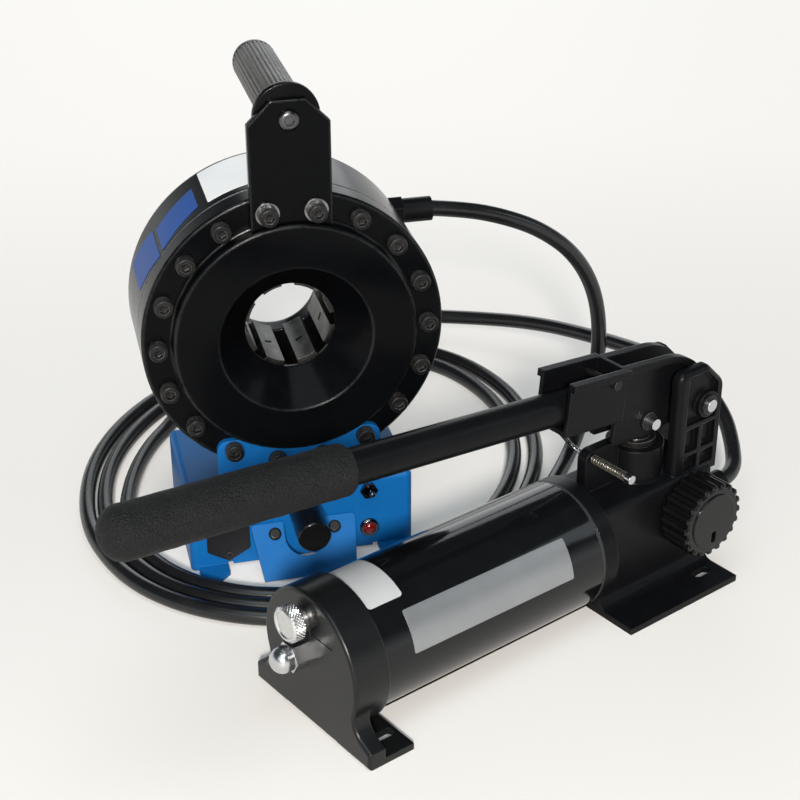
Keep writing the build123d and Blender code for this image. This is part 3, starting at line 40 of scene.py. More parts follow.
# the pump's directions: back from its front face, across it, up
lengthways = Vector((1, 0, 0))
sideways = Vector((0, 1, 0))
up = Vector((0, 0, 1))
# the pump: tank axis and front face
tankAt = Vector((0, 0, 0.048))
capFaceX = -0.1665
# the crimping head: its face on the bore axis, its directions and its dies
headYaw = math.radians(-24.56)
headAt = Vector((-0.0586, 0.1604, 0.1753))
headRight = Vector((math.cos(headYaw), math.sin(headYaw), 0))
headFront = Vector((math.sin(headYaw), -math.cos(headYaw), 0))
dieCount = 8
# radius of the small ring that closes a skin on its axis
pinch = 0.0004


def addObject(name, data):
    obj = bpy.data.objects.new(name, data)
    bpy.context.collection.objects.link(obj)
    return obj


def addNode(tree, kind, values=None, **settings):
    node = tree.nodes.new(kind)
    for key, value in settings.items():
        setattr(node, key, value)
    for key, value in (values or {}).items():
        node.inputs[key].default_value = value
    return node


def newGroup(name, kind, inputs, outputs):
    # an empty node group with its named sockets
    tree = bpy.data.node_groups.new(name, kind)
    for label, socketKind, value in inputs:
        socket = tree.interface.new_socket(label, in_out="INPUT", socket_type=socketKind)
        if value is not None:
            socket.default_value = value
    for label, socketKind in outputs:
        tree.interface.new_socket(label, in_out="OUTPUT", socket_type=socketKind)
    return tree, tree.nodes.new("NodeGroupInput"), tree.nodes.new("NodeGroupOutput")


def mixColors(tree, factor, first, second):
    # colour between two colours, each a value or the socket of another node
    mix = addNode(tree, "ShaderNodeMix", data_type="RGBA")
    tree.links.new(factor, mix.inputs["Factor"])
    for socket, color in ((mix.inputs[6], first), (mix.inputs[7], second)):
        if isinstance(color, tuple):
            socket.default_value = color
        else:
            tree.links.new(color, socket)
    return mix.outputs[2]


def multiplyAll(tree, first, *others):
    product = first
    for other in others:
        node = addNode(tree, "ShaderNodeMath", operation="MULTIPLY", use_clamp=True)
        tree.links.new(product, node.inputs[0])
        tree.links.new(other, node.inputs[1])
        product = node.outputs[0]
    return product


def spreadNoise(tree, scale, detail, roughness, low, high, least=0.0):
    # noise on the object, its values from low to high spread from least to 1
    coord = addNode(tree, "ShaderNodeTexCoord")
    tex = addNode(tree, "ShaderNodeTexNoise", {"Detail": detail, "Roughness": roughness})
    tree.links.new(coord.outputs["Object"], tex.inputs["Vector"])
    tree.links.new(scale, tex.inputs["Scale"])
    spread = addNode(tree, "ShaderNodeMapRange", {"From Min": low, "From Max": high, "To Min": least})
    tree.links.new(tex.outputs["Fac"], spread.inputs["Value"])
    return spread.outputs["Result"]


def surfaceGrainGroup():
    # slow patches and a fine grain, both 0 to 1
    tree, gin, gout = newGroup(
        "surfaceGrain", "ShaderNodeTree",
        [("Patch Scale", "NodeSocketFloat", 20.0), ("Grain Scale", "NodeSocketFloat", 900.0)],
        [("Patch", "NodeSocketFloat"), ("Grain", "NodeSocketFloat")],
    )
    for label, detail in (("Patch", 4.0), ("Grain", 2.0)):
        spread = spreadNoise(tree, gin.outputs[label + " Scale"], detail, 0.6, low=0.3, high=0.7)
        tree.links.new(spread, gout.inputs[label])
    return tree


def dustFilmGroup():
    # pale film that gathers on faces that look up
    tree, gin, gout = newGroup(
        "dustFilm", "ShaderNodeTree",
        [("Color", "NodeSocketColor", (0, 0, 0, 1)), ("Dust", "NodeSocketColor", (0.4, 0.39, 0.37, 1)),
         ("Amount", "NodeSocketFloat", 0.1), ("Scale", "NodeSocketFloat", 70.0)],
        [("Color", "NodeSocketColor")],
    )
    speck = spreadNoise(tree, gin.outputs["Scale"], 6.0, 0.7, low=0.38, high=0.72)
    face = addNode(tree, "ShaderNodeNewGeometry")
    split = addNode(tree, "ShaderNodeSeparateXYZ")
    tree.links.new(face.outputs["Normal"], split.inputs[0])
    lift = addNode(tree, "ShaderNodeMapRange", {"From Min": -0.2, "From Max": 1.0, "To Min": 0.25})
    tree.links.new(split.outputs["Z"], lift.inputs["Value"])
    mask = multiplyAll(tree, lift.outputs["Result"], speck, gin.outputs["Amount"])
    dusty = mixColors(tree, mask, gin.outputs["Color"], gin.outputs["Dust"])
    tree.links.new(dusty, gout.inputs["Color"])
    return tree


def edgeBandGroup():
    # ragged band along the edges, where the rounded normal leaves the flat one: the mask for the painted
    # highlight on screw edges and for the glossy edge coat
    tree, gin, gout = newGroup(
        "edgeBand", "ShaderNodeTree",
        [("Width", "NodeSocketFloat", 0.0006), ("Amount", "NodeSocketFloat", 0.5),
         ("Breakup", "NodeSocketFloat", 180.0)],
        [("Mask", "NodeSocketFloat")],
    )
    rounded = addNode(tree, "ShaderNodeBevel", samples=4)
    tree.links.new(gin.outputs["Width"], rounded.inputs["Radius"])
    flat = addNode(tree, "ShaderNodeNewGeometry")
    dot = addNode(tree, "ShaderNodeVectorMath", operation="DOT_PRODUCT")
    tree.links.new(rounded.outputs["Normal"], dot.inputs[0])
    tree.links.new(flat.outputs["Normal"], dot.inputs[1])
    away = addNode(tree, "ShaderNodeMapRange", {"From Min": 0.985, "From Max": 0.86})
    tree.links.new(dot.outputs["Value"], away.inputs["Value"])
    ragged = spreadNoise(tree, gin.outputs["Breakup"], 4.0, 0.65, low=0.36, high=0.62, least=0.15)
    mask = multiplyAll(tree, away.outputs["Result"], ragged, gin.outputs["Amount"])
    tree.links.new(mask, gout.inputs["Mask"])
    return tree


surfaceGrain = surfaceGrainGroup()
dustFilm = dustFilmGroup()
edgeBand = edgeBandGroup()


def makeFinish(name, spec):
    # one enamel, metal, rubber or plastic from its dictionary
    mat = bpy.data.materials.new(name)
    mat.use_nodes = True
    tree = mat.node_tree
    tree.nodes.clear()
    link = tree.links.new
    edge = spec.get("edge", 0.0006)
    patchColor = spec.get("patchColor", [c * 1.25 for c in spec["color"]])
    low, high = spec["rough"]
    out = addNode(tree, "ShaderNodeOutputMaterial")
    bsdf = addNode(tree, "ShaderNodeBsdfPrincipled", {
        "Metallic": spec.get("metal", 0.0), "Specular IOR Level": spec.get("specular", 0.5),
        "Coat Weight": spec.get("coat", 0.0), "Coat Roughness": spec.get("coatRough", 0.05),
    })
    link(bsdf.outputs[0], out.inputs[0])
    grain = addNode(tree, "ShaderNodeGroup", {
        "Patch Scale": spec.get("patchScale", 22.0), "Grain Scale": spec.get("grainScale", 1400.0),
    }, node_tree=surfaceGrain)
    tint = mixColors(tree, grain.outputs[spec.get("tintBy", "Patch")], (*spec["color"], 1), (*patchColor, 1))
    film = addNode(tree, "ShaderNodeGroup", {"Amount": spec.get("dust", 0.02)}, node_tree=dustFilm)
    link(tint, film.inputs["Color"])
    color = film.outputs["Color"]
    # painted highlight: the edge band lightens the base colour, standing in for bright rims of reflected
    # light
    if "paintedHighlight" in spec:
        paintedHighlightValues = {"Width": spec["paintedHighlightWidth"], "Amount": spec["paintedHighlight"]}
        paintedHighlight = addNode(tree, "ShaderNodeGroup", paintedHighlightValues, node_tree=edgeBand)
        color = mixColors(tree, paintedHighlight.outputs["Mask"], color, (*spec["paintedHighlightColor"], 1))
    link(color, bsdf.inputs["Base Color"])
    rough = addNode(tree, "ShaderNodeMapRange", {"To Min": low, "To Max": high})
    link(grain.outputs["Patch"], rough.inputs["Value"])
    link(rough.outputs["Result"], bsdf.inputs["Roughness"])
    soft = addNode(tree, "ShaderNodeBevel", {"Radius": edge}, samples=8)
    bumpValues = {"Strength": spec.get("bump", 0.1), "Distance": spec.get("bumpDepth", 0.0002)}
    bump = addNode(tree, "ShaderNodeBump", bumpValues)
    link(grain.outputs["Grain"], bump.inputs["Height"])
    link(soft.outputs["Normal"], bump.inputs["Normal"])
    link(bump.outputs["Normal"], bsdf.inputs["Normal"])
    if "edgeShine" in spec:
        shineValues = {"Width": edge, "Amount": spec["edgeShine"]}
        shine = addNode(tree, "ShaderNodeGroup", shineValues, node_tree=edgeBand)
        link(shine.outputs["Mask"], bsdf.inputs["Coat Weight"])
        link(bump.outputs["Normal"], bsdf.inputs["Coat Normal"])
    return mat


finishes = {
    "headEnamel": {"color": (0.0016, 0.0018, 0.0022), "rough": (0.15, 0.21), "specular": 0.055, "bump": 0.05,
                   "grainScale": 700, "dust": 0.004, "edge": 0.0028, "edgeShine": 3.0, "coatRough": 0.28},
    "pumpEnamel": {"color": (0.003, 0.0033, 0.004), "rough": (0.08, 0.12), "specular": 0.38, "bump": 0.04,
                   "grainScale": 420, "dust": 0.004, "edge": 0.0008},
    "capEnamel": {"color": (0.004, 0.0042, 0.0046), "rough": (0.28, 0.36), "specular": 0.32, "bump": 0.12,
                  "grainScale": 500, "dust": 0.004, "edge": 0.001, "edgeShine": 1.0, "coatRough": 0.2},
    "castEnamel": {"color": (0.003, 0.0032, 0.0038), "rough": (0.28, 0.38), "specular": 0.10, "bump": 0.22,
                   "grainScale": 650, "dust": 0.004, "edge": 0.001, "edgeShine": 1.0, "coatRough": 0.2},
    "blueCoat": {"color": (0.003, 0.095, 0.30), "patchColor": (0.004, 0.102, 0.315), "rough": (0.38, 0.46),
                 "specular": 0.12, "bump": 0.12, "grainScale": 520, "dust": 0.01, "edge": 0.001},
    # black oxide, its edges lightened in colour as a painted highlight
    "blackOxide": {"color": (0.005, 0.005, 0.0055), "patchColor": (0.011, 0.0105, 0.0105),
                   "rough": (0.28, 0.42), "metal": 0.3, "specular": 0.3, "bump": 0.15, "grainScale": 1600,
                   "dust": 0.01, "edge": 0.0003, "paintedHighlight": 0.9, "paintedHighlightWidth": 0.0005,
                   "paintedHighlightColor": (0.26, 0.255, 0.25)},
    "dieSteel": {"color": (0.032, 0.031, 0.029), "patchColor": (0.085, 0.083, 0.077), "rough": (0.26, 0.46),
                 "metal": 1.0, "patchScale": 110, "bump": 0.12, "grainScale": 1500, "dust": 0.0,
                 "edge": 0.0004},
    "zincPlate": {"color": (0.52, 0.53, 0.55), "patchColor": (0.66, 0.66, 0.67), "rough": (0.16, 0.30),
                  "metal": 1.0, "bump": 0.1, "grainScale": 1700, "dust": 0.01, "edge": 0.0004},
    "boltSteel": {"color": (0.085, 0.085, 0.088), "patchColor": (0.12, 0.12, 0.122), "rough": (0.20, 0.34),
                  "metal": 1.0, "patchScale": 60, "bump": 0.1, "grainScale": 700},
    "darkSteel": {"color": (0.22, 0.22, 0.225), "patchColor": (0.30, 0.30, 0.305), "rough": (0.20, 0.34),
                  "metal": 1.0, "bump": 0.1, "grainScale": 1700, "dust": 0.01, "edge": 0.0004},
    "darkChrome": {"color": (0.14, 0.14, 0.15), "patchColor": (0.18, 0.18, 0.19), "rough": (0.07, 0.14),
                   "metal": 1.0, "bump": 0.02, "dust": 0.0, "edge": 0.0003},
    "turnedAlu": {"color": (0.66, 0.66, 0.66), "patchColor": (0.76, 0.76, 0.75), "rough": (0.22, 0.36),
                  "metal": 1.0, "bump": 0.1, "grainScale": 1900, "dust": 0.0, "edge": 0.0002},
    "satinPlastic": {"color": (0.006, 0.006, 0.007), "rough": (0.32, 0.44), "specular": 0.4, "bump": 0.2,
                     "grainScale": 1300, "dust": 0.012, "edge": 0.0006},
    "glossPlastic": {"color": (0.003, 0.003, 0.0034), "rough": (0.12, 0.20), "specular": 0.28, "bump": 0.06,
                     "grainScale": 900, "dust": 0.006, "edge": 0.0006},
    "gripRubber": {"color": (0.024, 0.0195, 0.0155), "rough": (0.34, 0.46), "specular": 0.5, "bump": 0.3,
                   "grainScale": 1500, "dust": 0.012},
    "collarRubber": {"color": (0.0018, 0.0019, 0.0021), "rough": (0.20, 0.28), "specular": 0.08, "bump": 0.1,
                     "grainScale": 1200, "dust": 0.004, "edge": 0.0012, "edgeShine": 2.0, "coatRough": 0.25},
    "foamSkin": {"color": (0.003, 0.0033, 0.0037), "patchColor": (0.010, 0.0104, 0.011), "tintBy": "Grain",
                 "rough": (0.52, 0.66), "specular": 0.18, "bump": 1.0, "bumpDepth": 0.0006,
                 "grainScale": 800, "dust": 0.008},
    "hoseCover": {"color": (0.0045, 0.0045, 0.005), "rough": (0.18, 0.30), "bump": 0.1, "grainScale": 600,
                  "dust": 0.01},
    "sealRubber": {"color": (0.012, 0.012, 0.012), "rough": (0.5, 0.6), "bump": 0.2},
    "redLens": {"color": (0.11, 0.002, 0.002), "patchColor": (0.15, 0.003, 0.003), "rough": (0.06, 0.12),
                "bump": 0.03, "dust": 0.0, "coat": 0.6},
    "springWire": {"color": (0.17, 0.155, 0.125), "patchColor": (0.25, 0.23, 0.185), "rough": (0.2, 0.35),
                   "metal": 1.0, "bump": 0.1, "dust": 0.0, "edge": 0.0001},
    "silverPlate": {"color": (0.30, 0.308, 0.318), "patchColor": (0.345, 0.353, 0.363),
                    "rough": (0.36, 0.44), "metal": 0.8, "bump": 0.05, "dust": 0.0, "edge": 0.0001},
    "palePlate": {"color": (0.40, 0.412, 0.42), "patchColor": (0.43, 0.442, 0.45), "rough": (0.35, 0.45),
                  "bump": 0.05, "dust": 0.0, "edge": 0.0001},
    "bluePlate": {"color": (0.008, 0.052, 0.22), "rough": (0.40, 0.48), "specular": 0.12, "bump": 0.05,
                  "dust": 0.0, "edge": 0.0001},
    "whitePlate": {"color": (0.72, 0.73, 0.75), "patchColor": (0.78, 0.78, 0.79), "rough": (0.35, 0.45),
                   "bump": 0.05, "dust": 0.0, "edge": 0.0001},
    "darkMark": {"color": (0.003, 0.003, 0.003), "rough": (0.5, 0.7), "specular": 0.05, "bump": 0.2,
                 "dust": 0.0, "edge": 0.0001},
}
finish = {name: makeFinish(name, spec) for name, spec in finishes.items()}
print("finishes made:", len(finish))

nodeFinish = {
    "headEnamel": ["front_flange", "cylinder_body", "grip_bracket"],
    "castEnamel": ["pump_block", "yoke", "handle_tube", "inlet_elbow", "outlet_fitting", "hose_ends"],
    "pumpEnamel": ["tank_tube"],
    "capEnamel": ["front_cap"],
    "blueCoat": ["stand_body", "guard_plate"],
    "blackOxide": ["flange_screws", "stand_screws", "bracket_screws", "guard_screws", "cover_screws",
                   "yoke_bolt", "gland_nut", "pivot_clips", "plunger_clips"],
    "dieSteel": ["die_%d" % (k + 1) for k in range(dieCount)] + ["ring_piston"],
    "zincPlate": ["guard_posts", "setting_bush", "setting_spindle", "tie_rod", "acorn_nut", "pivot_pin",
                  "plunger_pin", "valve_stem", "latch_rod"],
    "darkSteel": ["bracket_washers", "plunger"],
    "boltSteel": ["carry_bolt"],
    "darkChrome": ["switch_body", "switch_lever", "lamp_bezel"],
    "glossPlastic": ["setting_knob", "release_knob"],
    "turnedAlu": ["fill_cap"],
    "satinPlastic": ["battery_cover", "battery_box"],
    "gripRubber": ["carry_grip"],
    "foamSkin": ["handle_grip"],
    "sealRubber": ["piston_seals", "tank_gaskets"],
    "hoseCover": ["hose_head_lead", "hose_coil", "hose_pump_lead"],
    "redLens": ["lamp_lens"],
    "springWire": ["latch_spring"],
}


def paint(mesh, look):
    mesh.materials.clear()
    mesh.materials.append(finish[look])


for look, names in nodeFinish.items():
    for name in names:
        paint(nodes[name].data, look)


def addPiece(name, mesh, look, body, stands=()):
    # a finished piece: at the origin, riding on its body
    obj = addObject(name, mesh)
    paint(mesh, look)
    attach(obj, body)
    if stands:
        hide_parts(*stands)
    return obj


def toMesh(name, bm, sharp=35):
    # outward faces, smooth but for the edges sharper than the angle
    bmesh.ops.recalc_face_normals(bm, faces=bm.faces)
    for f in bm.faces:
        f.smooth = True
    mesh = bpy.data.meshes.new(name)
    bm.to_mesh(mesh)
    bm.free()
    mesh.set_sharp_from_angle(angle=math.radians(sharp))
    return mesh


def skinRings(bm, rings, loop=False):
    # closed skin over rings of points, all with the same count; a loop joins its last ring to its first
    rows = [[bm.verts.new(p) for p in ring] for ring in rings]
    count = len(rows[0])
    for a, b in zip(rows, rows[1:] + (rows[:1] if loop else [])):
        for i in range(count):
            j = (i + 1) % count
            bm.faces.new((a[i], a[j], b[j], b[i]))
    if not loop:
        bm.faces.new(list(reversed(rows[0])))
        bm.faces.new(rows[-1])


def fromRings(name, rings, sharp=35, loop=False):
    bm = bmesh.new()
    skinRings(bm, rings, loop)
    return toMesh(name, bm, sharp)


def ringAt(centre, a, b, radius, count):
    # points round a centre, from direction a towards direction b; radius may follow the angle
    points = []
    for i in range(count):
        turn = 2 * math.pi * i / count
        r = radius(turn) if callable(radius) else radius
        points.append(centre + (a * math.cos(turn) + b * math.sin(turn)) * r)
    return points


def quarterTurn(steps):
    # sine and cosine at even steps of a quarter turn
    turns = [math.pi / 2 * k / steps for k in range(steps + 1)]
    return [(math.sin(turn), math.cos(turn)) for turn in turns]


# the photograph's camera
view = {"place": (-0.6405, -0.6901, 0.6729), "heading": 51.67, "pitch": 28.06, "roll": -0.22, "lens": 76.0,
        "sensor": 36.0, "farthest": 50.0}
heading, pitch = math.radians(view["heading"]), math.radians(view["pitch"])
lookDir = Vector((math.cos(heading) * math.cos(pitch), math.sin(heading) * math.cos(pitch), -math.sin(pitch)))
lookTurn = lookDir.to_track_quat("-Z", "Y").to_matrix().to_4x4()
camera = bpy.data.cameras.new("viewCamera")
camera.lens = view["lens"]
camera.sensor_width = view["sensor"]
camera.clip_end = view["farthest"]
cameraObj = addObject("viewCamera", camera)
cameraRoll = Matrix.Rotation(math.radians(view["roll"]), 4, "Z")
cameraObj.matrix_world = Matrix.Translation(view["place"]) @ (lookTurn @ cameraRoll)
bpy.context.scene.camera = cameraObj

# pressure hose: from the head's port to the floor, round the coil and on to the pump's outlet
hose = {
    "radius": 0.006,
    "length": 4.0,
    "headRoute": [
        (0.09559, 0.20428, 0.21496), (0.119, 0.1936, 0.2115), (0.148, 0.183, 0.202), (0.178, 0.174, 0.187),
        (0.205, 0.165, 0.164), (0.223, 0.159, 0.133), (0.231, 0.157, 0.096), (0.230, 0.157, 0.056),
        (0.210, 0.150, 0.023), (0.180, 0.134, 0.006), (0.130, 0.104, 0.006),
    ],
    "coilMiddle": (0.030, 0.255), "coilTilt": 34.0, "coilTight": 0.154, "coilShift": 0.067,
    "coilPitch": 0.0155, "coilDrift": (-0.003, -0.001), "coilQuarters": 10, "coilEnd": 0.153,
    "pointsPerQuarter": 4,
    "pumpRoute": [
        (-0.07138, 0.35459, 0.006), (-0.03289, 0.37791, 0.006), (0.02699, 0.41417, 0.023),
        (0.084, 0.432, 0.029), (0.149, 0.425, 0.028), (0.206, 0.386, 0.029), (0.247, 0.331, 0.035),
        (0.270, 0.268, 0.046), (0.2745, 0.203, 0.056), (0.271, 0.142, 0.066), (0.264, 0.088, 0.073),
        (0.257, 0.047, 0.058), (0.240, 0.020, 0.044), (0.220, 0.001, 0.037), (0.2035, 0.0, 0.037),
    ],
    "stepsPerPoint": 8, "roundSteps": 7,
}


def coilPoints(h):
    # loop points of the oval that winds inwards, clockwise, just outside its arcs so that the spline runs on
    # them; the middle drifts a little with each turn, so that the turns fan out on one side
    wide = h["coilTight"] + h["coilShift"] * math.sqrt(2)
    angle = math.radians(h["coilTilt"] - 90)
    middle = Vector((*h["coilMiddle"], h["radius"]))
    centre = middle - Vector((math.cos(angle), math.sin(angle), 0)) * h["coilShift"]
    drift = Vector((*h["coilDrift"], 0))
    points, before, wound = [], None, 0.0
    for quarter in range(h["coilQuarters"] + 1):
        last = quarter == h["coilQuarters"]
        r = (wide if quarter % 2 == 0 else h["coilTight"]) - h["coilPitch"] / 4 * quarter
        r = h["coilEnd"] if last else r
        if before is not None:
            centre = centre + Vector((math.cos(angle), math.sin(angle), 0)) * (before - r)
        half = quarter == 0 or last
        steps = h["pointsPerQuarter"] // 2 if half else h["pointsPerQuarter"]
        step = math.radians(45 if half else 90) / steps
        for k in range(steps):
            a = angle - step * (k + 0.5)
            wound += step / (2 * math.pi)
            outwards = Vector((math.cos(a), math.sin(a), 0))
            points.append(centre + outwards * (r / math.cos(step / 2)) + drift * wound)
        angle -= step * steps
        before = r
    return points


headPoints = [Vector(p) for p in hose["headRoute"]]
pumpPoints = [Vector(p) for p in hose["pumpRoute"]]
hosePoints = headPoints + coilPoints(hose) + pumpPoints
hoseCurve = bpy.data.curves.new("pressureHose", "CURVE")
hoseCurve.dimensions = "3D"
hoseLine = hoseCurve.splines.new("NURBS")
hoseLine.points.add(len(hosePoints) - 1)
for spot, p in zip(hoseLine.points, hosePoints):
    spot.co = (*p, 1)
hoseLine.order_u = 3
hoseLine.use_endpoint_u = True
hoseLine.resolution_u = hose["stepsPerPoint"]
hoseCurve.bevel_depth = hose["radius"]
hoseCurve.bevel_resolution = hose["roundSteps"]
hoseCurve.use_fill_caps = True
hoseCurve.materials.append(finish["hoseCover"])
hoseObj = addObject("pressureHose", hoseCurve)
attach(hoseObj, "frame")
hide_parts("hose_head_lead", "hose_coil", "hose_pump_lead")
print("hose laid:", len(hosePoints), "points")

# foam sleeve on the end of the pump handle, lengths from the pivot along the lever
foamGrip = {"pivot": (0.153, 0, 0.1285), "along": (-0.994916, 0, 0.100709), "rise": 0.0142, "start": 0.292,
            "tip": 0.454, "radius": 0.016, "bore": 0.0116, "boreEnd": 0.0005, "cover": 0.008, "lip": 0.001,
            "mouthRound": 0.0035, "mouthSteps": 6, "bodySteps": 60, "tipRound": 0.0135, "tipSteps": 14,
            "uneven": 0.00035, "unevenScale": 160, "calmTip": 0.002, "round": 64, "fill": 0.9}


def foamProfile(g):
    # from the floor of the bore, out round the mouth, along the sleeve and round its tip: length, radius
    floorX = g["tip"] - g["cover"]
    profile = [(floorX, g["boreEnd"]), (floorX, g["bore"]), (g["start"] + g["lip"], g["bore"]),
               (g["start"], g["bore"] + g["lip"])]
    for sine, cosine in reversed(quarterTurn(g["mouthSteps"])):
        x = g["start"] + g["mouthRound"] * (1 - sine)
        profile.append((x, g["radius"] - g["mouthRound"] * (1 - cosine)))
    first, last = g["start"] + g["mouthRound"], g["tip"] - g["tipRound"]
    for k in range(1, g["bodySteps"]):
        profile.append((first + (last - first) * k / g["bodySteps"], g["radius"]))
    for sine, cosine in quarterTurn(g["tipSteps"]):
        profile.append((last + g["tipRound"] * sine, g["radius"] - g["tipRound"] * (1 - cosine)))
    profile.append((g["tip"], pinch))
    return profile


def unevenPoint(g, p, middle):
    outwards = (p - middle).normalized()
    return p + outwards * noise.noise(p * g["unevenScale"]) * g["uneven"]


def foamRings(g):
    along = Vector(g["along"]).normalized()
    rise = sideways.cross(along)
    gripLine = Vector(g["pivot"]) + rise * g["rise"]
    rings = []
    for x, r in foamProfile(g):
        middle = gripLine + along * x
        ring = ringAt(middle, sideways, rise, r, g["round"])
        if r > g["bore"] + g["lip"] / 2 and x < g["tip"] - g["calmTip"]:
            ring = [unevenPoint(g, p, middle) for p in ring]
        rings.append(ring)
    return rings


foamMesh = fromRings("foamGrip", foamRings(foamGrip), sharp=50)
gripObj = addPiece("foamGrip", foamMesh, "foamSkin", "handle", ["handle_grip"])
print("foam grip:", len(foamMesh.polygons), "faces")

# ribbed carrying grip on the head, its collar and its smooth end, depths behind the flange's face
carryGrip = {"up": 0.153, "radius": 0.0155, "ribs": 30, "ribDepth": 0.0006, "crest": 0.5, "pointsPerRib": 6,
             "ribEnd": 0.121, "end": 0.133, "endRound": 0.010, "roundSteps": 12, "bore": 0.0051,
             "boreDepth": 0.1001, "collarRadius": 0.022, "collarThick": 0.006, "edge": 0.001, "edgeCut": 0.3}


def carryRings(g, profile):
    # rings round the grip's axis: depth, radius, share of the grooves' depth between the flat crests
    def ring(depth, radius, share=0):
        def grooved(turn):
            across = abs(turn / (2 * math.pi) * g["ribs"] % 1 - 0.5) * 2
            return radius - g["ribDepth"] * share * max(across - g["crest"], 0) / (1 - g["crest"])
        middle = headAt + up * g["up"] - headFront * depth
        return ringAt(middle, headRight, up, grooved, g["ribs"] * g["pointsPerRib"])
    return [ring(*row) for row in profile]


def carryRibProfile(g):
    # bore, then the ribbed skin as far as the smooth end
    collar, radius = g["collarThick"], g["radius"]
    return [(g["boreDepth"], pinch), (g["boreDepth"], g["bore"]), (collar, g["bore"]),
            (collar, radius - g["ribDepth"]), (collar + g["edge"], radius, 1), (g["ribEnd"], radius, 1),
            (g["ribEnd"], pinch)]


def carryEndProfile(g):
    profile = [(g["ribEnd"], pinch), (g["ribEnd"], g["radius"])]
    for sine, cosine in quarterTurn(g["roundSteps"]):
        depth = g["end"] - g["endRound"] * (1 - sine)
        profile.append((depth, g["radius"] - g["endRound"] * (1 - cosine)))
    profile.append((g["end"], pinch))
    return profile


def carryCollarProfile(g):
    outer, edge, thick = g["collarRadius"], g["edge"], g["collarThick"]
    cut = edge * g["edgeCut"]
    return [(0, g["bore"]), (0, outer - edge), (cut, outer - cut), (edge, outer), (thick - edge, outer),
            (thick, outer - edge), (thick, g["bore"])]


ribMesh = fromRings("ribbedCarryGrip", carryRings(carryGrip, carryRibProfile(carryGrip)), sharp=25)
collarMesh = fromRings("carryGripCollar", carryRings(carryGrip, carryCollarProfile(carryGrip)), loop=True)
endMesh = fromRings("carryGripEnd", carryRings(carryGrip, carryEndProfile(carryGrip)), sharp=40)
addPiece("ribbedCarryGrip", ribMesh, "gripRubber", "frame", ["carry_grip"])
addPiece("carryGripCollar", collarMesh, "collarRubber", "frame")
addPiece("carryGripEnd", endMesh, "collarRubber", "frame")
print("carrying grip ribbed")

# socket screws round the flange, set on their seats by a node tree
flangeScrews = {"ring": 0.0925, "count": 18, "bracketTurns": (80, 100), "standTurns": (240, 260, 280, 300),
                "bracketSeat": 0.0076, "standSeat": 0.005, "headRadius": 0.0065, "headHeight": 0.008,
                "spinSeed": 7}
# their head, in shares of its radius and height: knurled side, turned edge, hexagon socket
screwHead = {"flutes": 36, "foot": 0.95, "fluteRoot": 0.955, "knurl": (0.03, 0.74), "band": (0.78, 0.90),
             "edge": ((0.975, 0.90), (1.0, 0.84)), "faceInner": 0.62, "socket": 0.462, "socketMouth": 1.07,
             "mouthDepth": 0.05, "socketDepth": 0.5, "drillDepth": 0.6, "drillEnd": 0.05}


def socketScrewHead(h):
    count = h["flutes"] * 2

    def knurl(turn):
        return 1.0 if round(turn / (2 * math.pi) * count) % 2 else h["fluteRoot"]

    def hexagon(size):
        def radius(turn):
            step = math.pi / 3
            return size / math.cos((turn % step) - step / 2)
        return radius

    socket = hexagon(h["socket"])
    rows = [(0.0, h["foot"])]
    rows += [(z, knurl) for z in h["knurl"]]
    rows += [(z, h["fluteRoot"]) for z in h["band"]]
    rows += [*h["edge"], (1.0, h["faceInner"]), (1.0, hexagon(h["socket"] * h["socketMouth"]))]
    rows += [(1.0 - h["mouthDepth"], socket), (1.0 - h["socketDepth"], socket)]
    rows.append((1.0 - h["drillDepth"], h["drillEnd"]))
    rings = [ringAt(up * z, lengthways, sideways, r, count) for z, r in rows]
    return fromRings("socketScrewHead", rings, sharp=25)


def screwsOnSeatsTree():
    # one screw on each point, turned to face out of the flange and spun at random
    tree, gin, gout = newGroup(
        "screwsOnSeats", "GeometryNodeTree",
        [("Geometry", "NodeSocketGeometry", None), ("Screw", "NodeSocketObject", None),
         ("Head Radius", "NodeSocketFloat", 0.005), ("Head Height", "NodeSocketFloat", 0.005),
         ("Facing", "NodeSocketVector", (0, 0, 1)), ("Spin Seed", "NodeSocketInt", 1),
         ("Finish", "NodeSocketMaterial", None)],
        [("Geometry", "NodeSocketGeometry")],
    )
    screw = addNode(tree, "GeometryNodeObjectInfo")
    tree.links.new(gin.outputs["Screw"], screw.inputs["Object"])
    face = addNode(tree, "FunctionNodeAlignRotationToVector", axis="Z")
    tree.links.new(gin.outputs["Facing"], face.inputs["Vector"])
    size = addNode(tree, "ShaderNodeCombineXYZ")
    tree.links.new(gin.outputs["Head Radius"], size.inputs["X"])
    tree.links.new(gin.outputs["Head Radius"], size.inputs["Y"])
    tree.links.new(gin.outputs["Head Height"], size.inputs["Z"])
    place = addNode(tree, "GeometryNodeInstanceOnPoints")
    tree.links.new(gin.outputs["Geometry"], place.inputs["Points"])
    tree.links.new(screw.outputs["Geometry"], place.inputs["Instance"])
    tree.links.new(face.outputs["Rotation"], place.inputs["Rotation"])
    tree.links.new(size.outputs["Vector"], place.inputs["Scale"])
    spin = addNode(tree, "FunctionNodeRandomValue", {2: 0.0, 3: 2 * math.pi}, data_type="FLOAT")
    tree.links.new(gin.outputs["Spin Seed"], spin.inputs["Seed"])
    about = addNode(tree, "ShaderNodeCombineXYZ")
    tree.links.new(spin.outputs[1], about.inputs["Z"])
    turned = addNode(tree, "GeometryNodeRotateInstances")
    tree.links.new(place.outputs["Instances"], turned.inputs["Instances"])
    tree.links.new(about.outputs["Vector"], turned.inputs["Rotation"])
    real = addNode(tree, "GeometryNodeRealizeInstances")
    tree.links.new(turned.outputs["Instances"], real.inputs["Geometry"])
    paint = addNode(tree, "GeometryNodeSetMaterial")
    tree.links.new(real.outputs["Geometry"], paint.inputs["Geometry"])
    tree.links.new(gin.outputs["Finish"], paint.inputs["Material"])
    tree.links.new(paint.outputs["Geometry"], gout.inputs["Geometry"])
    return tree


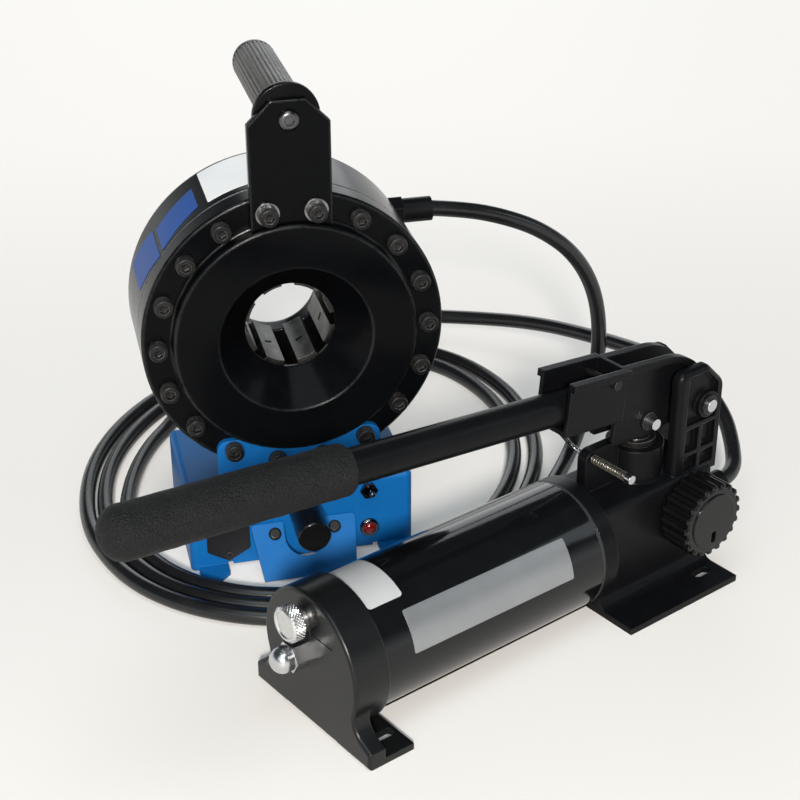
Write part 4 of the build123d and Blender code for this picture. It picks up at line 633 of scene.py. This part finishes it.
def runTree(name, tree, points, values):
    # plain mesh of a node tree run on loose points
    seats = bpy.data.meshes.new(name + "Seats")
    seats.from_pydata([tuple(p) for p in points], [], [])
    obj = addObject(name + "Seats", seats)
    modifier = obj.modifiers.new("onSeats", "NODES")
    modifier.node_group = tree
    for item in tree.interface.items_tree:
        if item.item_type == "SOCKET" and item.in_out == "INPUT" and item.name in values:
            modifier[item.identifier] = values[item.name]
    depsgraph = bpy.context.evaluated_depsgraph_get()
    mesh = bpy.data.meshes.new_from_object(obj.evaluated_get(depsgraph))
    mesh.name = name
    obj.modifiers.remove(modifier)
    bpy.data.objects.remove(obj)
    return mesh


def screwSeats(s):
    points = []
    for k in range(s["count"]):
        turnDeg = 360 * k / s["count"]
        a = math.radians(turnDeg)
        seat = 0.0
        if round(turnDeg) in s["bracketTurns"]:
            seat = s["bracketSeat"]
        if round(turnDeg) in s["standTurns"]:
            seat = s["standSeat"]
        points.append(headAt + (headRight * math.cos(a) + up * math.sin(a)) * s["ring"] + headFront * seat)
    return points


screwObj = addObject("socketScrewHead", socketScrewHead(screwHead))
screwValues = {"Screw": screwObj, "Head Radius": flangeScrews["headRadius"],
               "Head Height": flangeScrews["headHeight"], "Facing": tuple(headFront),
               "Spin Seed": flangeScrews["spinSeed"], "Finish": finish["blackOxide"]}
screwMesh = runTree("flangeSocketScrews", screwsOnSeatsTree(), screwSeats(flangeScrews), screwValues)
bpy.data.objects.remove(screwObj)
addPiece("flangeSocketScrews", screwMesh, "blackOxide", "frame",
         ["flange_screws", "stand_screws", "bracket_screws"])
print("flange screws:", len(screwMesh.polygons), "faces")

# knurled fill cap, lengths out of the pump's front face
fillCap = {"y": 0.006, "z": 0.076, "stem": (-0.006, 0.0068), "neck": (0.0003, 0.0085), "capStart": 0.0043,
           "capEnd": 0.0133, "radius": 0.012, "diamonds": 30, "rows": 3, "stepsPerDiamond": 4,
           "depth": 0.0007, "edge": 0.0009, "knurlInset": 1.3, "dish": 0.0008, "dishRim": 0.80,
           "dishFloor": 0.74}


def fillCapMesh(c):
    steps = c["stepsPerDiamond"]
    middle = Vector((capFaceX, c["y"], c["z"]))

    def diamond(row):
        def radius(turn):
            u = turn / (2 * math.pi) * c["diamonds"]
            a = abs((u + row) % 1 - 0.5) * 2
            b = abs((u - row) % 1 - 0.5) * 2
            return c["radius"] - c["depth"] * max(a, b)
        return radius

    plain, edge, start, end = c["radius"] - c["depth"], c["edge"], c["capStart"], c["capEnd"]
    (stemX, stemR), (neckX, neckR) = c["stem"], c["neck"]
    profile = [(stemX, pinch), (stemX, stemR), (neckX, stemR), (neckX, neckR), (start, neckR),
               (start, plain - edge), (start + edge, plain)]
    first, last = start + edge * c["knurlInset"], end - edge * c["knurlInset"]
    for k in range(c["rows"] * steps + 1):
        profile.append((first + (last - first) * k / (c["rows"] * steps), diamond(k / steps)))
    profile += [(end - edge, plain), (end, plain - edge), (end, plain * c["dishRim"]),
                (end - c["dish"], plain * c["dishFloor"]), (end - c["dish"], pinch)]
    count = c["diamonds"] * steps
    rings = [ringAt(middle - lengthways * x, sideways, up, r, count) for x, r in profile]
    return fromRings("knurledFillCap", rings, sharp=25)


addPiece("knurledFillCap", fillCapMesh(fillCap), "turnedAlu", "fill_cap", ["fill_cap"])
print("fill cap knurled")


def wrapPlate(name, spec):
    # thin plate bent round an axis: rows run round it, columns along it, corners rounded
    a0, a1 = (math.radians(a) for a in spec["turns"])
    arc = abs(a1 - a0) * spec["radius"]
    corner = spec["corner"]
    lean = math.radians(spec.get("lean", 0))
    rowCount, columnCount = spec["grid"]
    grids = []
    for lift in (spec["thick"], -spec["sunk"]):
        grid = []
        for k in range(rowCount + 1):
            t = (1 - math.cos(math.pi * k / rowCount)) / 2
            low = spec["low"][0] + (spec["low"][1] - spec["low"][0]) * t
            high = spec["high"][0] + (spec["high"][1] - spec["high"][0]) * t
            near = min(min(t, 1 - t) * arc, corner)
            inset = corner - math.sqrt(max(corner**2 - (corner - near) ** 2, 0))
            row = []
            for m in range(columnCount + 1):
                x = low + inset + (high - low - 2 * inset) * m / columnCount
                turnAt = a0 + (a1 - a0) * t + lean * m / columnCount
                outDir = spec["zero"] * math.cos(turnAt) + up * math.sin(turnAt)
                row.append(spec["at"] + spec["axis"] * x + outDir * (spec["radius"] + lift * spec["side"]))
            grid.append(row)
        grids.append(grid)
    bm = bmesh.new()
    skins = [[[bm.verts.new(p) for p in row] for row in grid] for grid in grids]
    for skin in skins:
        for lower, upper in zip(skin, skin[1:]):
            for m in range(columnCount):
                bm.faces.new((lower[m], lower[m + 1], upper[m + 1], upper[m]))
    top, bottom = skins
    rim = [(k, 0) for k in range(rowCount)] + [(rowCount, m) for m in range(columnCount)]
    rim += [(rowCount - k, columnCount) for k in range(rowCount)]
    rim += [(0, columnCount - m) for m in range(columnCount)]
    for (k, m), (kNext, mNext) in zip(rim, rim[1:] + rim[:1]):
        bm.faces.new((top[k][m], top[kNext][mNext], bottom[kNext][mNext], bottom[k][m]))
    return toMesh(name, bm)


# bare plates: two on the tank, turns seen from the handle's end, and three on the side of the head
wrap = {"side": 1, "sunk": 0.00005, "grid": (28, 12)}
tankWrap = dict(wrap, at=tankAt, axis=lengthways, zero=sideways, radius=0.0445)
headWrap = dict(wrap, at=headAt, axis=-headFront, zero=headRight, radius=0.1032, thick=0.00025, corner=0.0008)
plates = {
    "tankNamePlate": dict(tankWrap, turns=(133.5, 170), low=(-0.1185, -0.1185), high=(0.0135, 0.0135), lean=1,
                          thick=0.0003, corner=0.0012, look="silverPlate", slotName="aluminium"),
    "tankDataFrame": dict(tankWrap, turns=(61, 124), low=(-0.1395, -0.1395), high=(-0.1115, -0.1115),
                          thick=0.00025, corner=0.003, look="darkMark", slotName="pump_black"),
    "tankDataPlate": dict(tankWrap, turns=(62.2, 122.8), low=(-0.1386, -0.1386), high=(-0.1124, -0.1124),
                          thick=0.0004, corner=0.0023, look="palePlate", slotName="aluminium"),
    "headWhitePlate": dict(headWrap, turns=(98, 119), low=(0.026, 0.026), high=(0.080, 0.080),
                           look="whitePlate", slotName="aluminium"),
    "headBluePlateHigh": dict(headWrap, turns=(123, 143), low=(0.030, 0.020), high=(0.063, 0.056),
                              look="bluePlate", slotName="stand_blue"),
    "headBluePlateLow": dict(headWrap, turns=(145, 163), low=(0.018, 0.030), high=(0.063, 0.075),
                             look="bluePlate", slotName="stand_blue"),
}
for name, spec in plates.items():
    addPiece(name, wrapPlate(name, spec), spec["look"], "frame")
print("plates fitted:", len(plates))

# flat strip on the floor under the tank, from the front foot to the rear foot
baseStrip = {"from": -0.1323, "to": 0.0543, "halfWidth": 0.017, "thick": 0.003, "round": 0.0006,
             "roundSteps": 3}


def baseStripMesh(b):
    bm = bmesh.new()
    bmesh.ops.create_cube(bm, size=1.0)
    size = Vector((b["to"] - b["from"], 2 * b["halfWidth"], b["thick"]))
    bmesh.ops.scale(bm, vec=size, verts=bm.verts)
    bmesh.ops.translate(bm, vec=((b["from"] + b["to"]) / 2, 0, b["thick"] / 2), verts=bm.verts)
    bmesh.ops.bevel(bm, geom=bm.edges[:], offset=b["round"], segments=b["roundSteps"], affect="EDGES",
                    profile=0.5)
    return toMesh("baseStrip", bm)


addPiece("baseStrip", baseStripMesh(baseStrip), "castEnamel", "frame")
print("base strip laid")

# marks struck a little aslant across the dies at half their length
dieMarks = {"depth": 0.04765, "width": 0.002, "slant": 0.8, "radius": 0.0285, "spread": 5.2, "thick": 0.00022,
            "corner": 0.0003, "grid": (10, 3)}


def dieMarkMesh(name, k, d):
    middleTurn = (k - 0.5) * 360 / dieCount
    shift = d["width"] * d["slant"]
    near = d["depth"] - d["width"]
    spec = dict(headWrap, radius=d["radius"], side=-1, thick=d["thick"], corner=d["corner"], grid=d["grid"],
                turns=(middleTurn - d["spread"], middleTurn + d["spread"]),
                low=(near, near + shift), high=(d["depth"], d["depth"] + shift))
    return wrapPlate(name, spec)


for k in range(1, dieCount + 1):
    name = "dieMark%d" % k
    addPiece(name, dieMarkMesh(name, k, dieMarks), "darkMark", "die_%d" % k)
print("dies marked")

# moulded level line on the pump's front face; the last ring of an end stops just short of its tip
levelLine = {"line": ((-0.004, 0.069), (-0.024, 0.069)), "tick": ((-0.002, 0.0655), (-0.002, 0.0725)),
             "radius": 0.00055, "round": 12, "endRings": 5, "endSteps": 4.2}


def mouldedLine(bm, spec, a, b):
    # half-round rib with round ends, sunk in the face to its middle
    a, b = (Vector((capFaceX, *p)) for p in (a, b))
    run = (b - a).normalized()
    side = run.cross(lengthways)
    radius = spec["radius"]
    rings = []
    for end, way in ((a, -1), (b, 1)):
        part = []
        for k in range(spec["endRings"]):
            lift = math.pi / 2 * k / spec["endSteps"]
            middle = end + run * way * radius * math.sin(lift)
            part.append(ringAt(middle, side, lengthways, radius * math.cos(lift), spec["round"]))
        rings += reversed(part) if way < 0 else part
    skinRings(bm, rings)


lineMesh = bmesh.new()
mouldedLine(lineMesh, levelLine, *levelLine["line"])
mouldedLine(lineMesh, levelLine, *levelLine["tick"])
addPiece("levelLine", toMesh("levelLine", lineMesh), "pumpEnamel", "frame")
print("level line moulded")

# pale glow round the horizon, dim overhead
air = {"glow": (0.95, 0.985, 1.0), "glowStrength": 1.1, "overhead": (0.75, 0.88, 1.0),
       "overheadStrength": 0.07, "fade": 0.40}
horizon = (*[c * air["glowStrength"] for c in air["glow"]], 1)
overhead = (*[c * air["overheadStrength"] for c in air["overhead"]], 1)

# plain floor: lit near the part, glowing evenly further out, so that it meets the horizon without a line
floorSpec = {"size": 12.0, "drop": 0.0002, "color": (0.83, 0.803, 0.775), "rough": 0.6, "specular": 0.2,
             "farGlow": (0.90, 0.89, 0.865), "litTo": 0.2, "glowFrom": 1.5, "horizonFrom": 3.5,
             "horizonTo": 9.0, "middle": (-0.25, -0.30, 0)}


def fadeOver(tree, value, start, end):
    # 0 at the start and 1 at the end, with a smooth step between
    spec = {"From Min": start, "From Max": end}
    fade = addNode(tree, "ShaderNodeMapRange", spec, interpolation_type="SMOOTHSTEP")
    tree.links.new(value, fade.inputs["Value"])
    return fade.outputs["Result"]


def floorFinish(spec):
    mat = bpy.data.materials.new("studioFloor")
    mat.use_nodes = True
    tree = mat.node_tree
    shader = tree.nodes["Principled BSDF"]
    shader.inputs["Roughness"].default_value = spec["rough"]
    shader.inputs["Specular IOR Level"].default_value = spec["specular"]
    shader.inputs["Emission Strength"].default_value = 1.0
    coord = addNode(tree, "ShaderNodeTexCoord")
    distance = addNode(tree, "ShaderNodeVectorMath", operation="LENGTH")
    tree.links.new(coord.outputs["Object"], distance.inputs[0])
    black = (0, 0, 0, 1)
    glowing = fadeOver(tree, distance.outputs["Value"], spec["litTo"], spec["glowFrom"])
    distant = fadeOver(tree, distance.outputs["Value"], spec["horizonFrom"], spec["horizonTo"])
    litColor = mixColors(tree, glowing, (*spec["color"], 1), black)
    outerGlow = mixColors(tree, distant, (*spec["farGlow"], 1), horizon)
    tree.links.new(litColor, shader.inputs["Base Color"])
    tree.links.new(mixColors(tree, glowing, black, outerGlow), shader.inputs["Emission Color"])
    return mat


floorMesh = bpy.data.meshes.new("studioFloor")
reach, level = floorSpec["size"], -floorSpec["drop"]
floorCorners = [(x * reach, y * reach, level) for x, y in ((-1, -1), (1, -1), (1, 1), (-1, 1))]
floorMesh.from_pydata(floorCorners, [], [(0, 1, 2, 3)])
floorMesh.materials.append(floorFinish(floorSpec))
floorObj = addObject("studioFloor", floorMesh)
floorObj.location = floorSpec["middle"]

world = bpy.data.worlds.new("studioAir")
world.use_nodes = True
worldTree = world.node_tree
background = worldTree.nodes["Background"]
background.inputs["Strength"].default_value = 1.0
skyCoord = addNode(worldTree, "ShaderNodeTexCoord")
skySplit = addNode(worldTree, "ShaderNodeSeparateXYZ")
worldTree.links.new(skyCoord.outputs["Generated"], skySplit.inputs[0])
skyHeight = fadeOver(worldTree, skySplit.outputs["Z"], 0.0, air["fade"])
worldTree.links.new(mixColors(worldTree, skyHeight, horizon, overhead), background.inputs["Color"])
bpy.context.scene.world = world

warmLight = (1.0, 0.955, 0.90)
coolLight = (0.84, 0.96, 1.0)
cardLight = (0.95, 0.98, 1.0)
lights = {
    "frontKey": {"at": (-2.65, -3.4, 2.38), "aim": (0.1, 0.15, 0.08), "size": 0.5, "watts": 335,
                 "color": warmLight},
    "ceilingSoft": {"at": (-0.60, -0.55, 2.2), "aim": (-0.15, 0.0, 0.0), "size": 1.5, "watts": 18,
                    "color": coolLight},
    "cameraLeft": {"at": (-1.9, -0.7, 1.4), "aim": (-0.1, 0.1, 0.05), "size": 1.1, "watts": 4,
                   "color": coolLight},
    "rightLow": {"at": (1.9, -1.5, 1.5), "aim": (0.1, -0.1, 0.0), "size": 0.9, "watts": 4,
                 "color": coolLight},
    "backCard": {"at": (1.56, 2.47, 1.2), "aim": (0.0, 0.3, 0.2), "size": 1.6, "watts": 13,
                 "color": cardLight},
}
for name, spec in lights.items():
    lamp = bpy.data.lights.new(name, "AREA")
    lamp.size = spec["size"]
    lamp.energy = spec["watts"]
    lamp.color = spec["color"]
    lampObj = addObject(name, lamp)
    aimDir = Vector(spec["aim"]) - Vector(spec["at"])
    aimTurn = aimDir.to_track_quat("-Z", "Y").to_matrix().to_4x4()
    lampObj.matrix_world = Matrix.Translation(spec["at"]) @ aimTurn
bpy.context.scene.view_settings.view_transform = "Standard"
print("studio ready")
